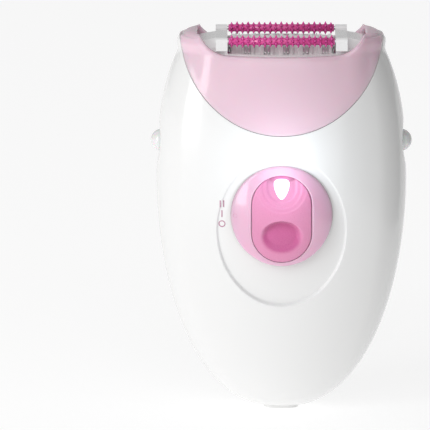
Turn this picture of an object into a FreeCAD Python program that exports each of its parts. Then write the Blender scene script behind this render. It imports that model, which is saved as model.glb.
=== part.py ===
import FreeCAD, Part
import math
import os
import re

# Epilator, upright.  X is to the right, Y to the back, Z up, in millimetres.
# The origin is the bottom centre of the power inlet nose.

os.makedirs("parts", exist_ok=True)
doc = FreeCAD.newDocument("epilator")
Vector = FreeCAD.Vector
Rotation = FreeCAD.Rotation

SIZES = [
    # egg-shaped skin
    ("body_width", 72.4),
    ("widest_height", 68.9),
    ("upper_reach", 58.5),
    ("lower_power", 2.3),
    ("upper_power", 2.5),
    ("front_ratio", 0.54),
    ("back_ratio", 0.566),
    ("side_ratio", 0.40),
    ("horn_flare", 1.9),
    ("flare_start", 105.5),
    ("flare_span", 4.0),
    ("base_height", 1.0),
    ("top_height", 112.0),
    ("wall", 2.0),
    ("inner_fit", 0.15),
    # head parting line and the opening for the cap
    ("split_height", 113.3),
    ("split_radius", 29.5),
    ("split_gap", 0.3),
    ("floor_wall", 2.0),
    ("slot_half", 24.3),
    ("slot_floor", 106.2),
    ("slot_corner", 9.0),
    ("horn_gap_half", 23.9),
    ("horn_gap_depth", 8.6),
    # recess round the switch
    ("dish_height", 55.8),
    ("dish_half_width", 18.9),
    ("dish_half_height", 22.6),
    ("dish_tilt", 1.7),
    ("dish_hinge", 80.0),
    ("dish_backing", 1.8),
    ("dish_rim", 1.6),
    # switch
    ("disc_height", 60.6),
    ("disc_radius", 14.8),
    ("disc_stand", 3.452),
    ("disc_apex", "=front_ratio * body_width / 2 + disc_stand"),
    ("disc_depth_radius", 20.0),
    ("disc_side_radius", 23.1),
    ("disc_tall_radius", 30.9),
    ("switch_travel", 5.7),
    ("switch_gap", 0.35),
    ("pad_half_width", 8.6),
    ("pad_half_length", 12.7),
    ("pad_height", 59.9),
    ("pad_gap", 0.15),
    ("pad_stand", 0.352),
    ("pad_depth", "=front_ratio * body_width / 2 + pad_stand"),
    ("thumb_height", 54.0),
    ("thumb_half_width", 6.2),
    ("thumb_half_height", 5.2),
    ("thumb_depth", 1.3),
    ("lens_half_width", 2.4),
    ("lens_low", 64.8),
    ("lens_high", 72.2),
    ("dot_radius", 0.6),
    ("dot_inset", 1.4),
    ("dot_offset", "=disc_radius - dot_inset"),
    ("stem_half_width", 4.0),
    ("stem_half_height", 4.5),
    ("flange_half", 7.0),
    ("flange_back", 4.948),
    ("flange_front", "=front_ratio * body_width / 2 - flange_back"),
    ("flange_thick", 1.0),
    ("lever_half", 0.8),
    ("lever_depth", 1.7),
    # release buttons
    ("button_height", 79.0),
    ("button_radius", 3.2),
    ("button_stand", 1.6),
    ("button_reach", "=body_width / 2 + button_stand"),
    ("button_clear", 0.3),
    ("button_travel", 1.8),
    ("scallop_radius", 14.5),
    ("scallop_deep", 1.7),
    ("scallop_reach", "=body_width / 2 - scallop_deep"),
    ("button_flange_radius", 4.6),
    ("button_flange_thick", 1.2),
    ("button_stem_radius", 0.9),
    ("button_stem_in", 0.5),
    ("button_stem_long", 4.3),
    ("button_rib_deep", 9.2),
    ("button_rib_outer", "=body_width / 2 - button_rib_deep"),
    ("button_rib_thick", 1.7),
    ("spring_radius", 1.8),
    ("spring_wire", 0.25),
    ("spring_pitch", 0.95),
    # well in the handle and plug on the head
    ("well_half", 22.7),
    ("well_front", 10.0),
    ("well_back", 12.0),
    ("well_floor", 73.2),
    ("well_wall", 1.6),
    ("well_floor_thick", 2.1),
    ("plug_gap", 0.6),
    ("plug_wall", 1.4),
    # gears
    ("module", 0.4),
    ("pinion_teeth", 10),
    ("crown_teeth", 40),
    ("lay_teeth", 14),
    ("transfer_teeth", 34),
    ("drum_teeth", 20),
    ("backlash", 0.12),
    ("drive_axis", 1.0),
    ("crown_height", 82.5),
    ("crown_face", 1.2),
    ("crown_plate", 2.4),
    ("gear_plane", 18.5),
    ("gear_width", 1.7),
    ("pinion_low", 73.3),
    ("pinion_long", 2.5),
    # tweezer drum
    ("drum_height", 102.2),
    ("drum_half", 14.9),
    ("drum_core_radius", 3.9),
    ("disc_lobe_radius", 8.0),
    ("disc_pitch", 2.8),
    ("disc_width", 1.3),
    ("drum_discs", 11),
    ("blade_radius", 8.5),
    ("blade_thick", 0.35),
    ("blade_half_width", 2.6),
    ("bar_radius", 0.7),
    ("bar_bore", 0.8),
    ("bar_offset", 4.9),
    ("bar_half", 15.2),
    ("bar_travel", 0.4),
    ("cam_radius", 5.8),
    ("cam_face", 15.75),
    ("axle_radius", 1.5),
    ("plate_inner", 16.4),
    ("plate_outer", 18.0),
    ("plate_top", 103.4),
    ("plate_boss", 4.0),
    ("transfer_pin", 1.0),
    ("bush_radius", 2.5),
    ("running_fit", 0.05),
    ("lay_radius", 1.2),
    ("cover_inner", 20.6),
    ("cover_thick", 1.0),
    ("cover_half", 7.1),
    ("cover_low", 97.2),
    ("cover_rise", 3.4),
    ("cover_post", 1.0),
    ("gear_clear", 0.35),
    # massage cap
    ("cap_half", 23.5),
    ("cap_base", 103.5),
    ("cap_rail", 106.4),
    ("cap_clear", 0.35),
    ("cap_window", 15.6),
    ("cap_window_depth", 10.0),
    ("cap_rim", 1.4),
    ("post_outer", 19.0),
    ("post_top", 110.4),
    ("post_front", 12.6),
    ("post_back", 11.2),
    ("post_flat_front", 6.0),
    ("post_flat_back", 4.5),
    ("front_boss", 1.1),
    ("rear_boss", 1.0),
    ("deck_top", 107.6),
    ("side_deck_inner", 110.2),
    ("side_deck_outer", 109.4),
    ("side_deck_front", 5.5),
    ("side_deck_back", 4.5),
    ("side_deck_foot", 9.5),
    ("side_deck_step", 2.2),
    ("roller_half", 15.3),
    ("roller_radius", 1.9),
    ("roller_core", 1.25),
    ("roller_pitch", 1.6),
    ("roller_rows", 19),
    ("roller_offset", 9.2),
    ("front_roller_height", 109.8),
    ("rear_roller_height", 110.2),
    ("pin_radius", 0.6),
    # motor
    ("motor_radius", 12.1),
    ("motor_flat", 9.15),
    ("motor_low", 39.0),
    ("motor_high", 69.5),
    ("motor_wall", 0.8),
    ("shaft_radius", 1.0),
    ("armature_radius", 7.6),
    ("winding_radius", 6.2),
    ("commutator_radius", 2.6),
    ("bush_seat", 3.0),
    ("sleeve_wall", 0.8),
    ("bracket_half", 16.5),
    ("bracket_depth", 7.0),
    ("bracket_screw_offset", 14.2),
    ("bracket_screw_radius", 0.9),
    ("bracket_screw_head", 1.7),
    ("bracket_screw_long", 3.4),
    ("magnet_radius", 8.3),
    # electronics
    ("board_front", 11.0),
    ("board_thick", 1.2),
    ("board_half", 17.0),
    ("board_low", 36.0),
    ("board_high", 70.0),
    ("board_tail_half", 12.0),
    ("board_tail_low", 24.0),
    ("parts_height", 29.5),
    ("capacitor_radius", 3.3),
    ("choke_radius", 2.2),
    ("choke_bore", 0.8),
    ("diode_radius", 0.9),
    ("led_offset", 9.0),
    ("led_height", 65.0),
    ("led_radius", 1.2),
    ("led_base", 1.2),
    # power inlet
    ("nose_half_width", 5.0),
    ("nose_half_depth", 3.2),
    ("socket_height", 9.5),
    ("socket_wall", 1.0),
    ("contact_radius", 0.8),
    ("contact_shank", 1.0),
    ("contact_offset", 1.9),
    # housing screws
    ("boss_radius", 3.2),
    ("boss_side", 24.0),
    ("boss_height", 50.0),
    ("boss_low", 17.0),
    ("screw_radius", 1.25),
    ("screw_head", 2.5),
    ("screw_seat", 7.0),
]

sheet = doc.addObject("Spreadsheet::Sheet", "dims")
for row, (name, value) in enumerate(SIZES, start=1):
    sheet.set("A%d" % row, name)
    sheet.set("B%d" % row, str(value))
    sheet.setAlias("B%d" % row, name)
doc.recompute()
NAMES = {name for name, value in SIZES}


def size(name):
    """Value of one named size."""
    return float(sheet.get(name))


def full(formula):
    """Formula over named sizes, written the way the sheet is read."""
    return re.sub(r"[a-z_]+", lambda m: "dims." + m.group(0) if m.group(0) in NAMES else m.group(0),
                  str(formula))


def bind(thing, **formulas):
    for prop, formula in formulas.items():
        thing.setExpression(prop.replace("__", "."), full(formula))
    return thing


TURNS = {
    "X": Rotation(Vector(0, 1, 0), 90),
    "Y": Rotation(Vector(1, 0, 0), -90),
    "Z": Rotation(),
}
nodes = {}
count = [0]


def fresh(kind, hint):
    count[0] += 1
    return doc.addObject(kind, "%s_%d" % (hint, count[0]))


def place(thing, axis, at):
    thing.Placement = FreeCAD.Placement(Vector(), TURNS[axis])
    bind(thing, Placement__Base__x=at[0], Placement__Base__y=at[1], Placement__Base__z=at[2])
    return thing


def rod(axis, at, radius, length):
    """Cylinder starting at a point and running along an axis."""
    thing = bind(fresh("Part::Cylinder", "rod"), Radius=radius, Height=length)
    return place(thing, axis, at)


def taper(axis, at, first, second, length):
    thing = bind(fresh("Part::Cone", "taper"), Radius1=first, Radius2=second, Height=length)
    return place(thing, axis, at)


def ball(at, radius):
    return place(bind(fresh("Part::Sphere", "ball"), Radius=radius), "Z", at)


def egg(at, along_x, along_y, along_z):
    thing = bind(fresh("Part::Ellipsoid", "egg"), Radius1=along_z, Radius2=along_x, Radius3=along_y)
    thing.Angle1 = -90
    return place(thing, "Z", at)


def block(x, y, z):
    """Box between pairs of limits."""
    thing = bind(fresh("Part::Box", "block"), Length="(%s) - (%s)" % (x[1], x[0]),
                 Width="(%s) - (%s)" % (y[1], y[0]), Height="(%s) - (%s)" % (z[1], z[0]))
    return place(thing, "Z", (x[0], y[0], z[0]))


def cut(base, *tools):
    for tool in tools:
        thing = fresh("Part::Cut", "cut")
        thing.Base = base
        thing.Tool = tool
        base = thing
    return base


def fuse(*things):
    thing = fresh("Part::MultiFuse", "fuse")
    thing.Shapes = list(things)
    return thing


def common(*things):
    thing = fresh("Part::MultiCommon", "common")
    thing.Shapes = list(things)
    return thing


def group(*things):
    """Several like pieces kept as one node."""
    thing = fresh("Part::Compound", "group")
    thing.Links = list(things)
    return thing


def moved(source, x=0, y=0, z=0, turn=None, about=None):
    """Copy of a piece, shifted or turned about a line."""
    thing = fresh("Part::Compound", "moved")
    thing.Links = [source]
    if turn:
        thing.Placement = FreeCAD.Placement(Vector(x, y, z), turn, about or Vector())
        return thing
    return place(thing, "Z", (x, y, z))


def mirrored(source):
    thing = fresh("Part::Mirroring", "mirrored")
    thing.Source = source
    thing.Normal = Vector(1, 0, 0)
    return thing


def prism(points, axis, at, length):
    """Solid from a closed outline, drawn in the plane square to an axis."""
    outline = fresh("Part::Polygon", "outline")
    outline.Nodes = points
    outline.Close = True
    thing = fresh("Part::Extrusion", "prism")
    thing.Base = outline
    thing.DirMode = "Custom"
    thing.Dir = {"X": Vector(1, 0, 0), "Y": Vector(0, 1, 0), "Z": Vector(0, 0, 1)}[axis]
    thing.Solid = True
    bind(thing, LengthFwd=length)
    return place(thing, "Z", at)


def node(name, thing):
    thing.Label = name
    nodes[name] = thing
    return thing


# ---------------------------------------------------------------- skin

def half_width(z, inset):
    """Half the width at a height, for a skin set in by a distance."""
    half = size("body_width") / 2 - inset
    middle = size("widest_height")
    if z < middle:
        return half * (1 - ((middle - z) / (middle - inset)) ** 2) ** (1 / size("lower_power"))
    reach = size("upper_reach") - inset
    plain = half * math.sqrt(1 - ((z - middle) / reach) ** size("upper_power"))
    rise = min(1.0, max(0.0, (z - size("flare_start")) / size("flare_span")))
    return plain + size("horn_flare") * rise * rise * (3 - 2 * rise)


def lens(z, inset, wide_at=None):
    """Closed outline of four arcs that meet smoothly, at one height."""
    half = half_width(z if wide_at is None else wide_at, inset)
    front = size("front_ratio") * (half + inset) - inset
    back = size("back_ratio") * (half + inset) - inset
    side = size("side_ratio") * (half + inset) - inset
    inner = half - side
    front_radius = (inner ** 2 + front ** 2 - side ** 2) / (2 * (front - side))
    back_radius = (inner ** 2 + back ** 2 - side ** 2) / (2 * (back - side))
    front_centre = front_radius - front
    back_centre = back - back_radius
    low_right = math.atan2(-front_centre, inner)
    low_left = math.atan2(-front_centre, -inner)
    high_right = math.atan2(-back_centre, inner)
    high_left = math.atan2(-back_centre, -inner)
    up = Vector(0, 0, 1)
    arcs = [
        (Vector(0, front_centre, 0), front_radius, low_left, low_right),
        (Vector(inner, 0, 0), side, low_right, high_right),
        (Vector(0, back_centre, 0), back_radius, high_right, high_left),
        (Vector(-inner, 0, 0), side, high_left, low_left + 2 * math.pi),
    ]
    sketch = fresh("Sketcher::SketchObject", "lens")
    for centre, radius, first, last in arcs:
        sketch.addGeometry(Part.ArcOfCircle(Part.Circle(centre, up, radius), first, last), False)
    sketch.Placement.Base = Vector(0, 0, z)
    return sketch


LEVELS = [0.0, 0.018, 0.05, 0.10, 0.17, 0.28, 0.42, 0.61, 0.75, 0.855,
          0.91, 0.944, 0.96, 0.973, 0.987, 1.0]


def skin(inset):
    low = size("base_height") + inset
    high = size("top_height") - inset
    thing = fresh("Part::Loft", "skin")
    thing.Sections = [lens(low + level * (high - low), inset) for level in LEVELS]
    thing.Solid = True
    thing.Ruled = False
    return thing


outer = skin(0.0)
inner = skin(size("wall"))
inner_snug = skin(size("wall") + size("inner_fit"))
shell = cut(outer, inner)


def across(radius):
    """Round bar along Y on the head parting axis."""
    return rod("Y", ("0", "-60", "split_height"), radius, "120")


handle_space = across("split_radius + split_gap")
head_space = across("split_radius")

# ------------------------------------------------- handle: housing halves

scallop = ball(("scallop_reach + scallop_radius", "0", "button_height"), "scallop_radius")
scallop_back = common(inner, ball(("scallop_reach + scallop_radius", "0", "button_height"),
                                  "scallop_radius + wall"))
button_hole = rod("X", ("0", "0", "button_height"), "button_radius + button_clear", "60")
handle_skin = fuse(cut(shell, handle_space), scallop_back, mirrored(scallop_back))
handle_skin = cut(handle_skin, scallop, mirrored(scallop), button_hole, mirrored(button_hole))

NOSE = ("nose_half_width - nose_half_depth", "nose_half_depth")


def stadium(grow, low, high):
    """Upright bar with round ends, as wide as the inlet nose plus a margin."""
    radius = "nose_half_depth + %s" % grow
    ends = [rod("Z", (side + "(nose_half_width - nose_half_depth)", "0", low), radius,
                "%s - (%s)" % (high, low)) for side in ("", "-")]
    flat = block(("-(nose_half_width - nose_half_depth)", "nose_half_width - nose_half_depth"),
                 ("-(%s)" % radius, radius), (low, high))
    return fuse(flat, *ends)


nose_hole = stadium("0.1", "-1", "8")
front_half = block(("-60", "60"), ("-60", "0"), ("-5", "130"))
rear_half = block(("-60", "60"), ("0", "60"), ("-5", "130"))
BOSSES = [("boss_side", "boss_height"), ("-boss_side", "boss_height"), ("0", "boss_low")]

# recess round the switch: the skin copied, tipped back a little at the bottom
hinge = Vector(0, 0, size("dish_hinge"))
tipped = moved(outer, turn=Rotation(Vector(1, 0, 0), size("dish_tilt")), about=hinge)
dish_bar = egg(("0", "-18", "dish_height"), "dish_half_width", "40", "dish_half_height")
dish_cut = cut(dish_bar, tipped, rear_half)
thicker = egg(("0", "-18", "dish_height"), "dish_half_width + dish_rim", "40", "dish_half_height + dish_rim")
dish_pad = cut(common(inner, thicker), moved(inner, y="dish_backing"), rear_half)

window = block(("-(stem_half_width + 0.3)", "stem_half_width + 0.3"), ("-30", "-8"),
               ("disc_height - stem_half_height - 0.3",
                "disc_height + stem_half_height + switch_travel + 0.3"))

front_bosses = [rod("Y", (x, "-60", z), "boss_radius", "60") for x, z in BOSSES]
front_boss = common(inner, fuse(*front_bosses))
front_holes = fuse(*[rod("Y", (x, "-9.5", z), "screw_radius", "10") for x, z in BOSSES])
front = fuse(common(handle_skin, front_half), dish_pad, front_boss)
node("front_housing", cut(front, dish_cut, window, nose_hole, front_holes))

rear_bosses = [rod("Y", (x, "0", z), "boss_radius", "60") for x, z in BOSSES]
rear_boss = common(inner, fuse(*rear_bosses))
rear_holes = fuse(*[rod("Y", (x, "-1", z), "screw_radius + 0.15", "60") for x, z in BOSSES])
head_holes = fuse(*[rod("Y", (x, "screw_seat", z), "screw_head + 0.2", "60") for x, z in BOSSES])
rib = block(("button_rib_outer - button_rib_thick", "button_rib_outer"), ("-4", "30"),
            ("button_height - 3.5", "button_height + 3.5"))
rib = cut(common(rib, inner), rod("X", ("0", "0", "button_height"), "button_stem_radius + 0.3", "40"))
rear = fuse(common(handle_skin, rear_half), rear_boss, rib, mirrored(rib))
node("rear_housing", cut(rear, rear_holes, head_holes, nose_hole))

screws = []
for x, z in BOSSES:
    head = rod("Y", (x, "screw_seat", z), "screw_head", "1.8")
    recess = cut(head, block(("%s - 1.8" % x, "%s + 1.8" % x), ("screw_seat + 1", "screw_seat + 3"),
                             ("%s - 0.3" % z, "%s + 0.3" % z)),
                 block(("%s - 0.3" % x, "%s + 0.3" % x), ("screw_seat + 1", "screw_seat + 3"),
                       ("%s - 1.8" % z, "%s + 1.8" % z)))
    screws.append(fuse(recess, rod("Y", (x, "-9", z), "screw_radius", "screw_seat + 9")))
node("housing_screws", group(*screws))

# --------------------------------------------- handle: deck and drive well

WELL = [("-well_half", "well_half"), ("-well_front", "well_back")]
deck_sheet = common(inner, cut(across("split_radius + split_gap + floor_wall"), handle_space))
well_out = block(("-(well_half + well_wall)", "well_half + well_wall"),
                 ("-(well_front + well_wall)", "well_back + well_wall"),
                 ("well_floor - well_floor_thick", "split_height"))
well_in = block(WELL[0], WELL[1], ("well_floor", "split_height + 20"))
well = cut(common(well_out, inner), handle_space)
shaft_hole = rod("Z", ("0", "drive_axis", "60"), "pinion_teeth * module / 2 + 0.9", "20")
BRACKET_SIDES = ("bracket_screw_offset", "-bracket_screw_offset")
mount_holes = fuse(*[rod("Z", (x, "drive_axis", "60"), "bracket_screw_radius", "13.0")
                     for x in BRACKET_SIDES])
deck = cut(fuse(deck_sheet, well), well_in, shaft_hole, mount_holes)
node("handle_deck", deck)

# ------------------------------------------------------ handle: power inlet

socket = cut(stadium("0", "0", "socket_height"), stadium("0 - socket_wall", "-1", "socket_height - 1.9"))
collar_plate = block(("-7", "7"), ("-4.6", "4.6"), ("8", "socket_height"))
pin_holes = fuse(*[rod("Z", (x, "0", "0"), "contact_shank", "20")
                   for x in ("contact_offset", "-contact_offset")])
node("power_socket", cut(fuse(socket, collar_plate), pin_holes))
pins = [fuse(rod("Z", (x, "0", "1.6"), "contact_radius", "socket_height - 2 - 1.6"),
             rod("Z", (x, "0", "socket_height - 2"), "contact_shank", "2"),
             rod("Z", (x, "0", "socket_height"), "contact_shank - 0.4", "2.5"),
             ball((x, "0", "1.6"), "contact_radius"))
        for x in ("contact_offset", "-contact_offset")]
node("contact_pins", group(*pins))

# ------------------------------------------------------ handle: electronics

BOARD = ("-board_front", "-board_front + board_thick")
board = fuse(block(("-board_half", "board_half"), BOARD, ("board_low", "board_high")),
             block(("-board_tail_half", "board_tail_half"), BOARD, ("board_tail_low", "board_low")))
node("circuit_board", board)
case = block(("-5", "5"), ("-(flange_front - flange_thick) + 0.4", "-board_front"),
             ("disc_height - 3.4", "disc_height + switch_travel + 3.4"))
lever_slot = block(("-(lever_half + 0.3)", "lever_half + 0.3"), ("-20", "-board_front - 0.6"),
                   ("disc_height - lever_half - 0.5", "disc_height + switch_travel + lever_half + 0.5"))
node("switch_case", cut(case, lever_slot))
led_at = ("led_offset", "-board_front - led_base", "led_height")
node("indicator_led", fuse(rod("Y", led_at, "led_radius + 0.3", "led_base"), ball(led_at, "led_radius")))
BOARD_BACK = "-(board_front - board_thick)"
node("capacitor", rod("X", ("-5.5", BOARD_BACK + " + capacitor_radius", "parts_height"),
                      "capacitor_radius", "11"))
choke = cut(rod("X", ("-10.5", BOARD_BACK + " + choke_radius", "parts_height"), "choke_radius", "4.2"),
            rod("X", ("-11", BOARD_BACK + " + choke_radius", "parts_height"), "choke_bore", "6"))
node("choke", choke)
diodes = [rod("X", ("7.2", BOARD_BACK + " + diode_radius", z), "diode_radius", "3.6")
          for z in ("parts_height - 2.5", "parts_height", "parts_height + 2.5")]
node("diodes", group(*diodes))

# ----------------------------------------------------------- handle: motor


def motor_form(radius, flat, low, high):
    """Round bar with two flats, on the motor axis."""
    return common(rod("Z", ("0", "drive_axis", low), radius, "(%s) - (%s)" % (high, low)),
                  block(("-20", "20"), ("drive_axis - (%s)" % flat, "drive_axis + %s" % flat), (low, high)))


can = cut(motor_form("motor_radius", "motor_flat", "motor_low", "motor_high"),
          motor_form("motor_radius - motor_wall", "motor_flat - motor_wall", "motor_low - 1",
                     "motor_high - motor_wall"),
          rod("Z", ("0", "drive_axis", "motor_high - 3"), "bush_seat", "10"))
node("motor_can", can)
end_cap = cut(motor_form("motor_radius", "motor_flat", "motor_low - 1.6", "motor_low"),
              rod("Z", ("0", "drive_axis", "motor_low - 3"), "bush_seat", "10"))
node("motor_end_cap", end_cap)
tabs = [block(("%s - 1.2" % x, "%s + 1.2" % x), ("drive_axis + 4", "drive_axis + 4.5"),
              ("motor_low - 5.6", "motor_low - 1.6")) for x in ("6", "-6")]
node("motor_terminals", group(*tabs))
bushes = [cut(rod("Z", ("0", "drive_axis", low), "bush_seat", high), rod("Z", ("0", "drive_axis", "20"),
                                                                "shaft_radius + running_fit", "70"))
          for low, high in (("motor_high - motor_wall", "2.3"), ("motor_low - 2.2", "2.2"))]
node("motor_bushes", group(*bushes))
magnet = common(cut(rod("Z", ("0", "drive_axis", "motor_low + 5"), "motor_radius - motor_wall", "18"),
                    rod("Z", ("0", "drive_axis", "motor_low"), "magnet_radius", "40")),
                block(("0", "20"), ("drive_axis - 6", "drive_axis + 6"), ("motor_low", "motor_high")))
node("motor_magnets", group(magnet, mirrored(magnet)))
sleeve = cut(motor_form("motor_radius + sleeve_wall", "motor_flat + sleeve_wall",
                        "motor_low + 3", "motor_low + 9"),
             motor_form("motor_radius", "motor_flat", "motor_low", "motor_high"))
node("motor_sleeve", sleeve)
bracket = cut(block(("-bracket_half", "bracket_half"),
                    ("drive_axis - bracket_depth", "drive_axis + bracket_depth"),
                    ("motor_high", "well_floor - well_floor_thick")),
              rod("Z", ("0", "drive_axis", "60"), "bush_seat", "20"),
              *[rod("Z", (x, "drive_axis", "60"), "bracket_screw_radius", "20") for x in BRACKET_SIDES])
node("motor_bracket", bracket)
bolts = [fuse(rod("Z", (x, "drive_axis", "motor_high - 1"), "bracket_screw_head", "1"),
              rod("Z", (x, "drive_axis", "motor_high"), "bracket_screw_radius", "bracket_screw_long"))
         for x in BRACKET_SIDES]
node("bracket_screws", group(*bolts))

# ----------------------------------------------------------- gear outlines


def gear_outline(teeth, turn, thin):
    """Involute teeth on a flat circle; thin is the backlash taken off each tooth."""
    module = size("module")
    pitch = module * teeth / 2
    base = pitch * math.cos(math.radians(20))
    tip = pitch + 0.9 * module
    root = pitch - 1.2 * module
    half_tooth = math.pi / (2 * teeth) - thin / (2 * pitch)

    def spread(radius):
        """Angle between the flank and the tooth middle at a radius."""
        if radius < base:
            radius = base
        roll = math.acos(base / radius)
        at_pitch = math.radians(20)
        return half_tooth + (math.tan(at_pitch) - at_pitch) - (math.tan(roll) - roll)

    radii = [root, max(base, root + 0.05), pitch - 0.1 * module, pitch + 0.4 * module, tip]
    flank = [(radius, spread(radius)) for radius in radii]
    points = []
    for tooth in range(teeth):
        middle = turn + 2 * math.pi * tooth / teeth
        points += [(radius, middle - angle) for radius, angle in flank]
        points += [(radius, middle + angle) for radius, angle in reversed(flank)]
    return points


def spur(teeth, turn, low, y, z, width):
    """Spur gear with its axis along X; angles run from Y towards Z."""
    points = [Vector(0, r * math.cos(a), r * math.sin(a))
              for r, a in gear_outline(int(size(teeth)), turn, size("backlash"))]
    return prism(points, "X", (low, y, z), width)


def pitch_radius(teeth):
    return size("module") * size(teeth) / 2


# the transfer gear stands where both its centre distances are kept
lay = Vector(0, size("drive_axis"), size("crown_height"))
drum = Vector(0, 0, size("drum_height"))
first_reach = pitch_radius("lay_teeth") + pitch_radius("transfer_teeth")
second_reach = pitch_radius("transfer_teeth") + pitch_radius("drum_teeth")
line = drum - lay
along = (first_reach ** 2 - second_reach ** 2 + line.Length ** 2) / (2 * line.Length)
aside = math.sqrt(first_reach ** 2 - along ** 2)
unit = Vector(line).normalize()
transfer = lay + unit * along + Vector(0, unit.z, -unit.y) * aside


def heading(start, end):
    return math.atan2(end.z - start.z, end.y - start.y)


def meshed(teeth, start, end, other_teeth, other_turn):
    """Turn that sets a gear at end in the gaps of the gear at start."""
    way = heading(start, end)
    phase = (way - other_turn) * size(other_teeth) / (2 * math.pi)
    return way + math.pi + (phase + 0.5) * 2 * math.pi / size(teeth)


lay_turn = 0.0
transfer_turn = meshed("transfer_teeth", lay, transfer, "lay_teeth", lay_turn)
drum_turn = meshed("drum_teeth", transfer, drum, "transfer_teeth", transfer_turn)

# ----------------------------------------------------------- motor: rotor

node("rotor_shaft", rod("Z", ("0", "drive_axis", "motor_low - 2.2"), "shaft_radius",
                        "pinion_low + pinion_long - motor_low + 2.2"))
slots = [moved(block(("5.0", "9"), ("-0.9", "0.9"), ("motor_low + 4", "motor_low + 25")),
               turn=Rotation(Vector(0, 0, 1), 60 + 120 * k)) for k in range(3)]
slots = moved(group(*slots), y="drive_axis")
iron = cut(rod("Z", ("0", "drive_axis", "motor_low + 5.5"), "armature_radius", "17"),
           rod("Z", ("0", "drive_axis", "motor_low"), "shaft_radius", "40"), slots)
node("armature", iron)
winding = cut(rod("Z", ("0", "drive_axis", "motor_low + 22.5"), "winding_radius", "2.6"),
              rod("Z", ("0", "drive_axis", "motor_low"), "shaft_radius", "40"))
winding_low = cut(rod("Z", ("0", "drive_axis", "motor_low + 3.1"), "winding_radius", "2.4"),
                  rod("Z", ("0", "drive_axis", "motor_low"), "shaft_radius", "40"))
node("rotor_windings", group(winding, winding_low))
node("commutator", cut(rod("Z", ("0", "drive_axis", "motor_low + 0.4"), "commutator_radius", "2.6"),
                       rod("Z", ("0", "drive_axis", "motor_low"), "shaft_radius", "40")))
pinion_points = [Vector(r * math.cos(a), r * math.sin(a), 0)
                 for r, a in gear_outline(int(size("pinion_teeth")), math.pi / size("pinion_teeth"),
                                          size("backlash"))]
pinion = cut(prism(pinion_points, "Z", ("0", "drive_axis", "pinion_low"), "pinion_long"),
             rod("Z", ("0", "drive_axis", "60"), "shaft_radius", "30"))
node("motor_pinion", pinion)

# ------------------------------------------------------------- slide switch

disc_bar = rod("Y", ("0", "-40", "disc_height"), "disc_radius", "40")
dome = egg(("0", "-disc_apex + disc_depth_radius", "disc_height"), "disc_side_radius",
           "disc_depth_radius", "disc_tall_radius")
under = fuse(*[moved(outer, y="-switch_gap", z="-switch_travel * %s" % part)
               for part in ("0", "0.5", "1")])


def pad_bar(grow, low, high):
    half = "pad_half_width + %s" % grow
    straight = "pad_half_length - pad_half_width"
    ends = [rod("Y", ("0", low, "pad_height %s (%s)" % (sign, straight)), half, "%s - (%s)" % (high, low))
            for sign in ("+", "-")]
    flat = block(("-(%s)" % half, half), (low, high),
                 ("pad_height - (%s)" % straight, "pad_height + %s" % straight))
    return fuse(flat, *ends)


def lens_bar(grow, low, high):
    half = "lens_half_width + %s" % grow
    ends = [rod("Y", ("0", low, z), half, "%s - (%s)" % (high, low))
            for z in ("lens_low + lens_half_width", "lens_high - lens_half_width")]
    flat = block(("-(%s)" % half, half), (low, high),
                 ("lens_low + lens_half_width", "lens_high - lens_half_width"))
    return fuse(flat, *ends)


dot = rod("Y", ("-dot_offset", "-40", "disc_height"), "dot_radius", "40")
dome_solid = cut(common(disc_bar, dome), under)
node("switch_disc", cut(dome_solid, pad_bar("pad_gap", "-40", "0"), dot))
node("switch_dot", common(dome_solid, dot))
thumb = egg(("0", "-disc_apex + 0.2", "thumb_height"),
            "thumb_half_width", "thumb_depth", "thumb_half_height")
pad_solid = common(dome_solid, pad_bar("0", "-40", "0"))
node("thumb_pad", cut(pad_solid, thumb, lens_bar("0", "-40", "-disc_apex + 2.2")))
node("light_lens", common(pad_solid, lens_bar("0", "-40", "-disc_apex + 2.2")))
stem = cut(block(("-stem_half_width", "stem_half_width"), ("-30", "-flange_front"),
                 ("disc_height - stem_half_height", "disc_height + stem_half_height")),
           cut(block(("-10", "10"), ("-40", "-10"), ("40", "90")), under))
flange = block(("-flange_half", "flange_half"), ("-flange_front", "-flange_front + flange_thick"),
               ("disc_height - flange_half", "disc_height + flange_half"))
node("switch_slider", fuse(stem, flange))
node("switch_lever", block(("-lever_half", "lever_half"),
                           ("-flange_front + flange_thick", "-flange_front + flange_thick + lever_depth"),
                           ("disc_height - lever_half", "disc_height + lever_half")))

# ---------------------------------------------------------- release buttons

flange_out = "scallop_reach - wall - 0.4"
button = fuse(rod("X", ("%s - button_flange_thick" % flange_out, "0", "button_height"),
                  "button_flange_radius", "button_flange_thick"),
              rod("X", (flange_out, "0", "button_height"), "button_radius",
                  "button_reach - button_radius - (%s)" % flange_out),
              ball(("button_reach - button_radius", "0", "button_height"), "button_radius"),
              rod("X", ("button_rib_outer - button_stem_in", "0", "button_height"),
                  "button_stem_radius", "button_stem_in + button_stem_long"))
node("right_button", button)
node("left_button", mirrored(button))
helix = fresh("Part::Helix", "helix")
spring_room = "(%s - button_flange_thick - button_rib_outer - spring_wire * 2)" % flange_out
bind(helix, Radius="spring_radius", Pitch="spring_pitch", Height=spring_room)
place(helix, "X", ("button_rib_outer + spring_wire", "0", "button_height"))
wire = fresh("Part::Circle", "wire")
bind(wire, Radius="spring_wire")
wire.Placement = FreeCAD.Placement(Vector(), Rotation(Vector(1, 0, 0), 90))
bind(wire, Placement__Base__x="button_rib_outer + spring_wire",
     Placement__Base__z="button_height - spring_radius")
coil = fresh("Part::Sweep", "coil")
coil.Sections = [wire]
coil.Spine = helix
coil.Solid = True
coil.Frenet = True
node("right_button_spring", coil)
node("left_button_spring", mirrored(coil))

# -------------------------------------------------------- head: pink collar

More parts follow.
